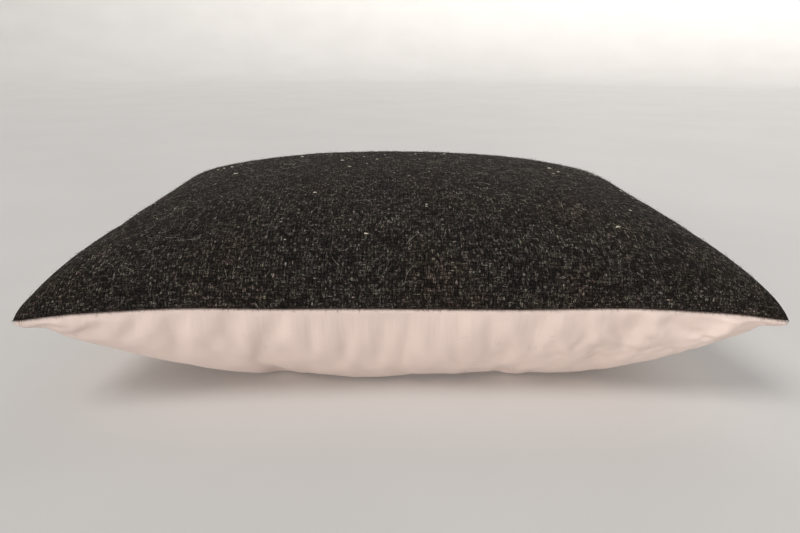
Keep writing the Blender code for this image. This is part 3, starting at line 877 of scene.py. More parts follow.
def sewn_line(inset, spacing):
    """Evenly spaced places in plan along the closed seam, from one end of the zip to the other."""
    start = OPENING_HALF / HALF_LENGTH
    fine = np.linspace(0, 1, 600)
    u = np.concatenate([start + (1 - start) * fine, 0 * fine + 1, 1 - 2 * fine, 0 * fine - 1,
                        -1 + (1 - start) * fine])
    v = np.concatenate([0 * fine + 1, 1 - 2 * fine, 0 * fine - 1, -1 + 2 * fine, 0 * fine + 1])
    x, y = plan(u, v, inset)
    lengths = np.concatenate([[0], np.cumsum(np.hypot(np.diff(x), np.diff(y)))])
    places = np.arange(0, lengths[-1], spacing)
    return np.stack([np.interp(places, lengths, x), np.interp(places, lengths, y)], -1)


def running_stitches(line, sink, rise, share=0.84):
    """Single stitches from each place of a line to the next, dipping at their ends."""
    starts, ends = line[:-1], line[:-1] + (line[1:] - line[:-1]) * share
    steps = np.array([0.0, 0.08, 0.3, 0.7, 0.92, 1.0])
    hump = np.array([-1.0, 0.35, 1.0, 1.0, 0.35, -1.0])
    paths = starts[:, None] + (ends - starts)[:, None] * steps[None, :, None]
    lift = np.where(hump > 0, hump * rise, hump * sink)
    return paths, lift


# Solid metal and plastic

def slab(name, outline, push):
    """A plate: an outline of points, pushed out to its thickness."""
    deselect_all()
    bpy.ops.mesh.primitive_circle_add(vertices=len(outline), fill_type="NGON")
    piece = bpy.context.object
    piece.name = piece.data.name = name
    for vertex, place in zip(piece.data.vertices, outline):
        vertex.co = place
    bpy.ops.object.mode_set(mode="EDIT")
    bpy.ops.mesh.select_all(action="SELECT")
    bpy.ops.mesh.extrude_region_move(TRANSFORM_OT_translate={"value": push})
    bpy.ops.mesh.select_all(action="SELECT")
    bpy.ops.mesh.normals_make_consistent(inside=False)
    bpy.ops.object.mode_set(mode="OBJECT")
    return piece


def combine(piece, other, operation):
    """Cuts or welds another solid into a piece, and does away with it."""
    step = piece.modifiers.new("combine", "BOOLEAN")
    step.operation = operation
    step.solver = "EXACT"
    step.object = other
    apply_modifier(piece, step)
    bpy.data.objects.remove(other)


def cut_away(piece, cutter):
    combine(piece, cutter, "DIFFERENCE")


def weld_on(piece, other):
    combine(piece, other, "UNION")


def soften_edges(piece, width, material, segments=3):
    """Rounds every sharp edge of a solid and gives it its finish."""
    bevel = piece.modifiers.new("soft edges", "BEVEL")
    bevel.width = width
    bevel.segments = segments
    bevel.angle_limit = math.radians(32)
    bevel.harden_normals = False
    apply_modifier(piece, bevel)
    piece.data.materials.clear()
    piece.data.materials.append(material)
    bpy.ops.object.shade_smooth_by_angle(angle=math.radians(40))
    return piece


def rounded_outline(half_x, half_z, corner, y, steps=6):
    """Points of a rectangle with round corners, lying in a plane of constant y."""
    points = []
    for quarter, (sx, sz) in enumerate(((1, 1), (-1, 1), (-1, -1), (1, -1))):
        for step in range(steps + 1):
            angle = (quarter + step / steps) * math.pi / 2
            points.append((
                sx * (half_x - corner) + corner * math.cos(angle),
                y,
                sz * (half_z - corner) + corner * math.sin(angle),
            ))
    return points


def moved(points, x=0.0, y=0.0, z=0.0):
    return [(px + x, py + y, pz + z) for px, py, pz in points]


# What a user may change

def length_property(name, description, default, least, most):
    return bpy.props.FloatProperty(
        name=name, description=description, default=default * MM, min=least * MM, max=most * MM,
        precision=4, unit="LENGTH", subtype="DISTANCE",
    )


def slack_settings(cloth):
    longer = "How much longer the " + cloth + " cloth is than its seam, which makes its puckers"
    return dict(
        name=cloth.capitalize() + " slack", description=longer, min=0.0, max=0.1, subtype="FACTOR",
    )


def colour_property(name, description, default):
    return bpy.props.FloatVectorProperty(
        name=name, description=description, default=default, min=0, max=1, subtype="COLOR",
    )


class CushionSizes(bpy.types.PropertyGroup):
    wool_yarn: length_property("Wool yarn width", "Width of one yarn of the woven front", 2.6, 0.5, 8)
    front_thickness: length_property(
        "Front cloth thickness", "Thickness of the woven front", 1.5, 0.3, 3
    )
    back_thickness: length_property(
        "Back cloth thickness", "Thickness of the cotton back", 0.8, 0.2, 2
    )
    fuzz: bpy.props.IntProperty(
        name="Loose fibres", description="How many loose fibres stand on the woven front",
        default=5900, min=0, max=6000,
    )
    thread: length_property("Thread thickness", "Thickness of the sewing thread", 0.6, 0.1, 1.5)
    stitch: length_property("Stitch length", "Length of one stitch of the seams", 3.2, 1, 8)
    front_slack: bpy.props.FloatProperty(default=0.02, **slack_settings("front"))
    back_slack: bpy.props.FloatProperty(default=0.04, **slack_settings("back"))


class CushionColours(bpy.types.PropertyGroup):
    wool: colour_property("Wool", "Middle colour of the woven front", (0.0150, 0.0118, 0.0100))
    # Pale colour of the loose fibres and neps; the woven front's material also uses it for its
    # painted highlight streaks.
    wool_fleck_and_highlight: colour_property(
        "Wool flecks", "Colour of the pale fibres in the woven front", (0.35, 0.325, 0.28)
    )
    wool_brown: colour_property(
        "Brown wool", "Colour of the brown fibres along the seam", (0.055, 0.028, 0.018)
    )
    wool_nep: colour_property(
        "Wool neps", "Colour of the undyed lumps in the woven front", (0.55, 0.50, 0.40)
    )
    cotton: colour_property("Cotton", "Colour of the cotton back", (0.755, 0.615, 0.555))
    dark_thread: colour_property(
        "Dark thread", "Colour of the thread on the front and round the zip", (0.016, 0.014, 0.012)
    )
    pale_thread: colour_property(
        "Pale thread", "Colour of the thread on the back and inside", (0.60, 0.50, 0.43)
    )
    zip_tape: colour_property("Zip", "Colour of the zip's tapes and coils", (0.020, 0.018, 0.017))
    zip_metal: colour_property(
        "Zip metal", "Colour of the zip's slider, tab and stops", (0.20, 0.19, 0.175)
    )
    floor: colour_property("Floor", "Colour of the floor", (0.68, 0.665, 0.64))


# Operators

def make_panel(name, node, side, columns, rows, slack, keep, seed, thickness, material):
    """One panel of the cover, from its form and its wrinkles to its turned-in allowance."""
    u, v, points, cloth = panel_grid(side, columns, rows)
    points = settled_points(side, points, cloth, slack, keep(u, v), seed)
    points[..., 2] = np.maximum(points[..., 2], OVER_TABLE)
    points = open_lips(points, side)
    points += gathers(u, v, points, side, seed)
    points[..., 2] = np.maximum(points[..., 2], OVER_TABLE)
    points, cloth = add_skirt(points, cloth, u, v, side)
    near = np.exp(-(((points[..., 2] - SEAM_HEIGHT) / (28 * MM)) ** 2))
    points[..., 2] += near * seam_wave(points[..., 0], points[..., 1])
    piece, _, _ = grid_object(name, points, cloth, side)
    finish_panel(piece, thickness, material)
    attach(piece, "cushion")
    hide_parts(node)
    return piece


def away_from_corners(u, v):
    """1 over most of a panel, fading to 0 in its corners."""
    corner = np.clip((np.abs(u) - 0.86) / 0.14, 0, 1) * np.clip((np.abs(v) - 0.8) / 0.2, 0, 1)
    return 1 - corner


class CUSHION_OT_front_cloth(bpy.types.Operator):
    """Make the woven wool front, gathered a little along its seam"""

    bl_idname = "cushion.front_cloth"
    bl_label = "Woven Front"

    def execute(self, context):
        sizes = context.scene.cushion_sizes
        material = wool_material(weave_effect())
        piece = make_panel(
            "front_cloth", "cover_front_panel", 1, 124, 82, sizes.front_slack,
            lambda u, v: (0.55 * away_from_corners(u, v))[..., None], 11,
            sizes.front_thickness, material,
        )
        return {"FINISHED"}


class CUSHION_OT_back_cloth(bpy.types.Operator):
    """Make the cotton back, puckered along its seam"""

    bl_idname = "cushion.back_cloth"
    bl_label = "Cotton Back"

    def execute(self, context):
        sizes = context.scene.cushion_sizes
        material = cotton_material(weave_effect())
        piece = make_panel(
            "back_cloth", "cover_back_panel", -1, 124, 84, sizes.back_slack,
            lambda u, v: (
                (1.25 + 0.9 * np.clip(u - 0.2, 0, 0.5)) * away_from_corners(u, v)
            )[..., None],
            4, sizes.back_thickness, material,
        )
        return {"FINISHED"}


class CUSHION_OT_wool_surface(bpy.types.Operator):
    """Lay neps, loose fibres and long hairs on the woven front and along its seam"""

    bl_idname = "cushion.wool_surface"
    bl_label = "Wool Neps and Fuzz"

    def execute(self, context):
        sizes, colours = context.scene.cushion_sizes, context.scene.cushion_colours
        seeds = np.random.default_rng(8)
        tree = surface_of("front_cloth")
        loose = fibre_material("loose wool fibre", colours.wool, colours.wool_nep)
        undyed = fibre_material("undyed wool", colours.wool_fleck_and_highlight, colours.wool_nep)
        self.lay_neps(tree, seeds, undyed)

        count = sizes.fuzz
        u, v = seeds.uniform(-1, 1, (2, count))
        u = np.sign(u) * np.abs(u) ** 0.8 * 0.99
        places, out = strewn_places(tree, u, v, 1)
        paths = hairs(
            places, out, seeds.uniform(2.5, 7.5, count) * MM, seeds.uniform(0.15, 1.0, count),
            seeds.uniform(0.2, 0.8, count), seeds,
        )
        tones = 0.04 + 0.6 * seeds.random(count) ** 2.5
        self.make("front_fuzz", paths, 0.085 * MM, loose, tones)

        count = sizes.fuzz // 5
        u, v = seeds.uniform(-0.97, 0.97, (2, count))
        places, out = strewn_places(tree, u, v, 1)
        paths = hairs(
            places + out * 0.5 * MM, out, (3.5 + 13 * seeds.random(count) ** 4) * MM,
            seeds.uniform(0.02, 0.25, count), seeds.uniform(0.4, 1.2, count), seeds,
        )
        tones = 0.25 + 0.6 * seeds.random(count) ** 1.5
        self.make("front_long_hairs", paths, 0.1 * MM, loose, tones)

        line = np.concatenate([sewn_line(0.1 * MM, 0.42 * MM), self.lip_line()])
        count = len(line)
        heights = SEAM_HEIGHT + 0.8 * MM + seam_wave(line[:, 0], line[:, 1])
        places = np.column_stack([line[:, :2], heights])
        near_zip = (line[:, 1] > 0.9 * REAR_WALL_Y) & (np.abs(line[:, 0]) < OPENING_HALF)
        places[near_zip, 2] += LIP_HALF_GAP
        out = np.column_stack([
            line[:, 0] / HALF_LENGTH * (np.abs(line[:, 0]) > 0.8 * HALF_LENGTH),
            np.sign(line[:, 1]) * (np.abs(line[:, 1]) > 0.8 * REAR_WALL_Y),
            seeds.uniform(-1.3, 0.6, count),
        ])
        out /= np.maximum(np.linalg.norm(out, axis=-1, keepdims=True), 1e-6)
        paths = hairs(
            places, out, (1.2 + 3.6 * seeds.random(count) ** 1.6) * MM,
            seeds.uniform(0.5, 1.25, count), seeds.uniform(0.3, 0.9, count), seeds,
        )
        hang = seeds.uniform(-0.4, 2.4, count) * MM * (line[:, 1] < 0)
        paths[..., 2] -= hang[:, None] * np.linspace(0, 1, 6) ** 1.3
        brown = fibre_material("brown wool fibre", colours.wool_brown, colours.wool_fleck_and_highlight)
        self.make("seam_fuzz", paths, 0.11 * MM, brown, 0.6 * seeds.random(count) ** 3)
        return {"FINISHED"}

    def lip_line(self):
        x = np.arange(-OPENING_HALF + 4 * MM, OPENING_HALF - 4 * MM, 1.3 * MM)
        return np.stack([x, np.full_like(x, REAR_WALL_Y - 0.3 * MM)], -1)

    def make(self, name, paths, radius, material, tones):
        piece = tubes(name, paths, radius, 3, material, tones=tones, taper=0.75)
        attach(piece, "cushion")

    def lay_neps(self, tree, seeds, material):
        spots = []
        for lump in range(22):
            x, y = seeds.uniform(-0.8, 0.8, 2) * (HALF_LENGTH, HALF_DEPTH)
            for _ in range(3 if lump % 8 == 0 else 1):
                spots.append((x, y, seeds.uniform(2.0, 4.4) * MM, seeds.uniform(0.7, 1.0)))
                x, y = x + seeds.uniform(5, 13) * MM, y + seeds.uniform(-3, 3) * MM
        for _ in range(90):
            x, y = seeds.uniform(-0.9, 0.9, 2) * (HALF_LENGTH, HALF_DEPTH)
            spots.append((x, y, seeds.uniform(1.2, 2.4) * MM, 0.75 * seeds.random() ** 2))
        paths, tones = [], []
        for x, y, length, tone in spots:
            place, normal, _, _ = tree.ray_cast(Vector((x, y, 0.3)), Vector((0, 0, -1)))
            if place is None or place.z < SEAM_HEIGHT:
                continue
            lean = seeds.uniform(-0.5, 0.5)
            way = Vector((math.cos(lean), math.sin(lean), 0))
            way = (way - way.dot(normal) * normal).normalized()
            centre = place + normal * 0.05 * MM
            shares = (0, 0.12, 0.35, 0.65, 0.88, 1)
            paths.append([centre + way * length * (share - 0.5) for share in shares])
            tones.append(tone)
        lengths = np.array([math.dist(path[0], path[-1]) for path in paths])
        jitter = seeds.normal(size=(len(paths), 6, 3)) * 0.12 * MM
        piece = tubes(
            "front_neps", np.array(paths) + jitter, lengths * 0.2, 7, material,
            tones=tones, profile=(0.1, 0.7, 1.0, 0.85, 0.5, 0.08),
        )
        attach(piece, "cushion")


class CUSHION_OT_stray_hairs(bpy.types.Operator):
    """Lay a few stray dark hairs on the cotton back"""

    bl_idname = "cushion.stray_hairs"
    bl_label = "Stray Hairs"

    def execute(self, context):
        seeds = np.random.default_rng(31)
        count = 46
        u = seeds.uniform(-0.95, 0.95, count)
        by_seam = seeds.random(count) < 0.7
        at_seam, beyond = seeds.uniform(-0.995, -0.8, count), seeds.uniform(-0.8, 0.99, count)
        v = np.where(by_seam, at_seam, beyond)
        places, out = strewn_places(surface_of("back_cloth"), u, v, -1)
        paths = hairs(
            places + out * 0.33 * MM, out, seeds.uniform(2.5, 7, count) * MM,
            seeds.uniform(0.02, 0.12, count), seeds.uniform(0.3, 1.0, count), seeds,
        )
        paths[..., 2] = np.maximum(paths[..., 2], 0.1 * MM)
        piece = tubes(
            "back_stray_hairs", paths, 0.06 * MM, 3, bpy.data.materials["brown wool fibre"],
            tones=0.4 * seeds.random(count), taper=0.6,
        )
        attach(piece, "cushion")
        return {"FINISHED"}


class CUSHION_OT_seam_threads(bpy.types.Operator):
    """Sew the closed seam with a needle and a bobbin thread, and bind its edges"""

    bl_idname = "cushion.seam_threads"
    bl_label = "Seam Threads"

    def execute(self, context):
        sizes, colours = context.scene.cushion_sizes, context.scene.cushion_colours
        dark = thread_material("dark sewing thread", colours.dark_thread)
        pale = thread_material("pale sewing thread", colours.pale_thread)
        radius = sizes.thread / 2
        line = sewn_line(1.6 * MM, sizes.stitch)
        front_face = sizes.front_thickness + 0.35 * MM
        back_face = sizes.back_thickness + 0.35 * MM
        for name, node, side, face, material, slot in (
            ("needle_stitches", "seam_needle_thread", 1, front_face, dark, "dark_thread"),
            ("bobbin_stitches", "seam_bobbin_thread", -1, back_face, pale, "pale_thread"),
        ):
            paths, lift = running_stitches(line, 0.6 * radius, radius)
            z = SEAM_HEIGHT + side * (face + np.broadcast_to(lift, paths.shape[:2]))
            z = z + seam_wave(paths[..., 0], paths[..., 1])
            piece = tubes(name, np.concatenate([paths, z[..., None]], -1), radius, 5, material)
            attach(piece, "cushion")
            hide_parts(node)
        outer = sewn_line(9.2 * MM, sizes.stitch)
        inner = sewn_line(12.6 * MM, sizes.stitch)
        count = min(len(outer), len(inner)) - 1
        outer, inner = outer[:count], inner[:count]
        cycle = []
        for places, z in (
            (inner, 0.3 * MM), (outer, front_face), (outer, front_face),
            (inner, -0.2 * MM), (outer, -back_face), (outer, -back_face),
        ):
            cycle.append(np.column_stack([places, np.full(count, SEAM_HEIGHT + z)]))
        step = np.gradient(inner, axis=0)
        for part, share in enumerate((0.0, 0.2, 0.35, 0.5, 0.65, 0.8)):
            cycle[part][:, :2] += share * step
        wrap = np.stack(cycle, 1).reshape(1, -1, 3)
        wrap[..., 2] += seam_wave(wrap[..., 0], wrap[..., 1])
        piece = tubes("edge_binding", wrap, radius, 5, pale)
        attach(piece, "cushion")
        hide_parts("overlock_thread")
        return {"FINISHED"}


class CUSHION_OT_zip(bpy.types.Operator):
    """Make the zip: two woven tapes, two nylon coils, and the metal stops"""

    bl_idname = "cushion.zip"
    bl_label = "Zip"

    def execute(self, context):
        colours = context.scene.cushion_colours
        tape, coil, metal = tape_material(), coil_material(), metal_material()
        sewing = thread_material("zip sewing thread", colours.zip_tape)
        for half, side in (("lower", -1), ("upper", 1)):
            self.make_tape(half, side, tape)
            self.make_coil(half, side, coil)
            self.sew_coil(half, side, sewing)
            self.make_stop("zip_top_stop_" + half, "top_stop_" + half, metal)
        self.make_stop("zip_bottom_stop", "bottom_stop", metal)
        return {"FINISHED"}

    def make_tape(self, half, side, material):
        low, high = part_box("zip_tape_" + half)
        deselect_all()
        bpy.ops.mesh.primitive_grid_add(x_subdivisions=120, y_subdivisions=10, size=2)
        piece = bpy.context.object
        piece.name = piece.data.name = "tape_" + half
        piece.data.uv_layers[0].name = "cloth"
        mesh = piece.data
        layer = mesh.uv_layers["cloth"].data
        width = high.z - low.z
        inner = low.z - SEAM_HEIGHT if side > 0 else SEAM_HEIGHT - high.z
        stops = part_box("zip_top_stop_upper")[1].x + 1 * MM
        for vertex in mesh.vertices:
            share = (vertex.co.y + 1) / 2
            x = vertex.co.x * high.x
            shut = (inner - 0.08 * MM) * min(1.0, max(0.0, (abs(x) - stops) / (4 * MM)))
            bead = max(0.0, 1 - abs(share - 0.93) / 0.07, 1 - abs(share - 0.05) / 0.05)
            z = SEAM_HEIGHT + side * (inner + share * width - shut * (1 - share))
            vertex.co = (x, high.y - 0.1 * MM + 0.08 * MM * bead, z)
        for loop in mesh.loops:
            place = mesh.vertices[loop.vertex_index].co
            layer[loop.index].uv = (place.x, abs(place.z - SEAM_HEIGHT))
        if mesh.polygons[0].normal.y < 0:
            mesh.flip_normals()
        thick = piece.modifiers.new("thickness", "SOLIDIFY")
        thick.thickness = high.y - low.y - 0.1 * MM
        thick.offset = -1
        apply_modifier(piece, thick)
        mesh.materials.append(material)
        bpy.ops.object.shade_smooth_by_angle(angle=math.radians(40))
        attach(piece, "cushion")
        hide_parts("zip_tape_" + half)

    def make_coil(self, half, side, material):
        low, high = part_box("zip_coil_" + half)
        pitch, wire = 1.25 * MM, 0.26 * MM
        turns = int((high.x - low.x) / pitch)
        angle = np.arange(turns * 11 + 1) / 11 * 2 * math.pi
        middle_y, half_y = (low.y + high.y) / 2, (high.y - low.y) / 2 - wire
        inner = 0.32 * MM + wire
        outer = max(abs(low.z - SEAM_HEIGHT), abs(high.z - SEAM_HEIGHT)) - wire
        reach = (1 - np.cos(angle)) / 2
        x = low.x + angle / (2 * math.pi) * pitch
        if side > 0:
            x = x + pitch / 2
        y = middle_y + half_y * np.sin(angle)
        z = SEAM_HEIGHT + side * (outer + (inner - outer) * reach)
        path = np.stack([np.minimum(x, high.x), y, z], -1)[None]
        piece = tubes("coil_" + half, path, wire, 5, material)
        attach(piece, "cushion")
        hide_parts("zip_coil_" + half)

    def sew_coil(self, half, side, material):
        low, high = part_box("zip_coil_" + half)
        x = np.arange(low.x + 1 * MM, high.x - 1 * MM, 2.5 * MM)
        rows = []
        for reach in (1.0 * MM, 1.75 * MM):
            y, z = high.y + 0.02 * MM, SEAM_HEIGHT + side * reach
            line = np.stack([x, np.full_like(x, y), np.full_like(x, z)], -1)
            paths, lift = running_stitches(line, 0.25 * MM, 0.1 * MM, 0.95)
            paths[..., 1] += lift
            rows.append(paths)
        piece = tubes("coil_sewing_" + half, np.concatenate(rows), 0.14 * MM, 5, material)
        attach(piece, "cushion")

    def make_stop(self, node, name, material):
        low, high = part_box(node)
        deselect_all()
        bpy.ops.mesh.primitive_cube_add(size=1, location=(low + high) / 2, scale=high - low)
        bpy.ops.object.transform_apply(location=True, rotation=True, scale=True)
        piece = bpy.context.object
        piece.name = piece.data.name = name
        bpy.ops.object.mode_set(mode="EDIT")
        bpy.ops.mesh.select_all(action="SELECT")
        bpy.ops.mesh.subdivide(number_cuts=3)
        bpy.ops.object.mode_set(mode="OBJECT")
        middle = (low + high) / 2
        for vertex in piece.data.vertices:
            share = abs(vertex.co.x - middle.x) / ((high.x - low.x) / 2)
            if vertex.co.y > middle.y:
                vertex.co.y -= 0.35 * MM * max(0.0, 1 - 2 * share)
            vertex.co.z = middle.z + (vertex.co.z - middle.z) * (0.86 + 0.14 * (1 - share ** 2))
        soften_edges(piece, 0.18 * MM, material, 2)
        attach(piece, "cushion")
        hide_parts(node)


class CUSHION_OT_slider(bpy.types.Operator):
    """Make the slider with its bridge, and the pull tab that hangs on it"""

    bl_idname = "cushion.slider"
    bl_label = "Slider and Tab"

    def execute(self, context):
        metal = bpy.data.materials["dark plated metal"]
        self.make_slider(metal)
        self.make_tab(metal)
        return {"FINISHED"}

    def make_slider(self, material):
        low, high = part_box("zip_slider")
        x, z = (low.x + high.x) / 2, SEAM_HEIGHT
        half, wide = (high.x - low.x) / 2, (high.z - low.z) / 2
        plate_low, plate_high = COIL_HIGH.y + 0.3 * MM, COIL_HIGH.y + 1.3 * MM
        nose = [(half, 0.62), (half * 0.8, 0.9), (half * 0.45, 1.0), (-half * 0.2, 0.97),
                (-half * 0.55, 0.82), (-half * 0.85, 0.76), (-half, 0.62)]
        shape = [(px, wide * pz) for px, pz in nose]
        shape += [(px, -pz) for px, pz in reversed(shape)]
        front = slab(
            "slider", moved([(px, plate_low, pz) for px, pz in shape], x=x, z=z),
            (0, plate_high - plate_low, 0),
        )
        rim = slab(
            "rim",
            moved([(px * 0.72, plate_high - 0.18 * MM, pz * 0.68) for px, pz in shape], x=x, z=z),
            (0, 0.4 * MM, 0),
        )
        cut_away(front, rim)
        inner = COIL_HIGH.z - SEAM_HEIGHT
        back = slab(
            "back plate",
            moved([(px, low.y, pz / wide * inner) for px, pz in shape], x=x, z=z),
            (0, 1 * MM, 0),
        )
        neck = slab(
            "neck",
            moved([(half - 0.6 * MM, 0, 0.22 * MM), (half - 3.4 * MM, 0, 0.2 * MM),
                   (half - 3.8 * MM, 0, 0), (half - 3.4 * MM, 0, -0.2 * MM),
                   (half - 0.6 * MM, 0, -0.22 * MM)], x=x, y=low.y + 0.5 * MM, z=z),
            (0, plate_low - low.y, 0),
        )
        weld_on(front, neck)
        weld_on(front, back)
        for side in (-1, 1):
            a, b = side * (inner + 0.3 * MM), side * (wide - 0.08 * MM)
            skirt = slab(
                "skirt",
                moved(
                    [
                        (-half * 0.8, 0, a), (half * 0.7, 0, a),
                        (half * 0.5, 0, b), (-half * 0.3, 0, b),
                    ],
                    x=x, y=TAPE_HIGH.y + 0.32 * MM, z=z,
                ),
                (0, plate_low + 0.5 * MM - TAPE_HIGH.y - 0.32 * MM, 0),
            )
            weld_on(front, skirt)
        outside, inside = [], []
        for step in range(13):
            angle = step / 12 * math.pi
            reach = abs(math.cos(angle)) ** 0.55 * math.copysign(1, math.cos(angle))
            lift = math.sin(angle) ** 0.55
            foot, tall = plate_high - 0.3 * MM, high.y - plate_high
            outside.append((3.2 * MM * reach, foot + (tall + 0.3 * MM) * lift, 0))
            inside.append((2.4 * MM * reach, foot + (tall - 0.5 * MM) * lift, 0))
        bridge = slab(
            "bridge", moved(outside + inside[::-1], x=x, z=z - 0.6 * MM), (0, 0, 1.2 * MM)
        )
        weld_on(front, bridge)
        soften_edges(front, 0.16 * MM, material)
        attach(front, "slider")
        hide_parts("zip_slider")

    def make_tab(self, material):
        low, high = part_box("zip_pull_tab")
        slide_low, slide_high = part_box("zip_slider")
        x, z = (slide_low.x + slide_high.x) / 2, SEAM_HEIGHT
        half_z = (high.z - low.z) / 2
        end = x - low.x
        bar = high.x - x
        outline = [
            (bar, 1.9 * MM), (-3.9 * MM, 1.9 * MM), (-4.8 * MM, 2.15 * MM), (-6 * MM, half_z),
        ]
        outline += [
            (-end + half_z - half_z * math.sin(angle), half_z * math.cos(angle))
            for angle in np.linspace(0, math.pi / 2, 7)
        ]
        outline += [(px, -pz) for px, pz in reversed(outline[:-1])]
        tab = slab(
            "pull_tab", moved([(px, low.y, pz) for px, pz in outline], x=x, z=z),
            (0, high.y - low.y, 0),
        )
        eye = rounded_outline(1.75 * MM, 0.98 * MM, 0.3 * MM, low.y - 1 * MM, 3)
        cut_away(tab, slab("eye", moved(eye, x=x - 2.22 * MM, z=z), (0, 3 * MM, 0)))
        hole = rounded_outline(1.1 * MM, 1.0 * MM, 0.95 * MM, low.y - 1 * MM, 5)
        cut_away(tab, slab("hole", moved(hole, x=low.x + 2.9 * MM, z=z), (0, 3 * MM, 0)))
        for place in (low.y - 1 * MM + 0.14 * MM, high.y - 0.14 * MM):
            field = rounded_outline(4.6 * MM, 1.45 * MM, 0.5 * MM, place, 4)
            cut_away(tab, slab("field", moved(field, x=low.x + 10.2 * MM, z=z), (0, 1 * MM, 0)))
        soften_edges(tab, 0.14 * MM, material)
        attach(tab, "pull")
        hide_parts("zip_pull_tab")


class CUSHION_OT_zip_stitching(bpy.types.Operator):
    """Sew the zip in: a loop of stitches round the opening, with a bar tack at each end"""

    bl_idname = "cushion.zip_stitching"
    bl_label = "Zip Stitching"

    def execute(self, context):
        sizes = context.scene.cushion_sizes
        material = bpy.data.materials["dark sewing thread"]
        radius = sizes.thread / 2
        trees = [surface_of("front_cloth"), surface_of("back_cloth")]

        def laid(x, z):
            place, _ = on_surface(
                trees, (x, HALF_DEPTH + 20 * MM, z), (0, -1, 0), (x, REAR_WALL_Y, z)
            )
            return place

        half_x = STITCH_HIGH.x - 0.3 * MM
        half_z = (STITCH_HIGH.z - STITCH_LOW.z) / 2 - 0.3 * MM
        corners = [(-half_x, -half_z), (half_x, -half_z), (half_x, half_z), (-half_x, half_z)]
        stitches = []
        for start, end in zip(corners, corners[1:] + corners[:1]):
            length = math.dist(start, end)
            count = max(2, round(length / sizes.stitch))
            for step in range(count):
                a, b = (step + 0.08) / count, (step + 0.9) / count
                path = []
                for share, hump in (
                    (0, -1), (0.1, 0.1), (0.35, 0.7), (0.65, 0.7), (0.9, 0.1), (1, -1),
                ):
                    way = a + (b - a) * share
                    x = start[0] + (end[0] - start[0]) * way
                    z = SEAM_HEIGHT + start[1] + (end[1] - start[1]) * way
                    place = laid(x, z)
                    path.append((x, place.y + hump * radius, z))
                stitches.append(path)
        loop = tubes("zip_stitches", stitches, radius, 6, material)
        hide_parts("zip_topstitch")
        pieces = [loop]
        for name, side in (("left", -1), ("right", 1)):
            low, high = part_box("bar_tack_" + name)
            bars = 24
            stitches = []
            for step in range(bars):
                z = low.z + (high.z - low.z) * (step + 0.5) / bars
                slant = 0.12 * MM * (1 if step % 2 else -1)
                path = []
                for share, hump in ((0, -0.9), (0.12, 0.5), (0.5, 1.0), (0.88, 0.5), (1, -0.9)):
                    x = low.x + (high.x - low.x) * share
                    rise = z + slant * (2 * share - 1)
                    path.append((x, laid(x, rise).y + hump * 0.24 * MM, rise))
                stitches.append(path)
            tack = tubes("tack_" + name, stitches, 0.24 * MM, 6, material)
            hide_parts("bar_tack_" + name)
            pieces.append(tack)
        for piece in pieces:
            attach(piece, "cushion")
        return {"FINISHED"}


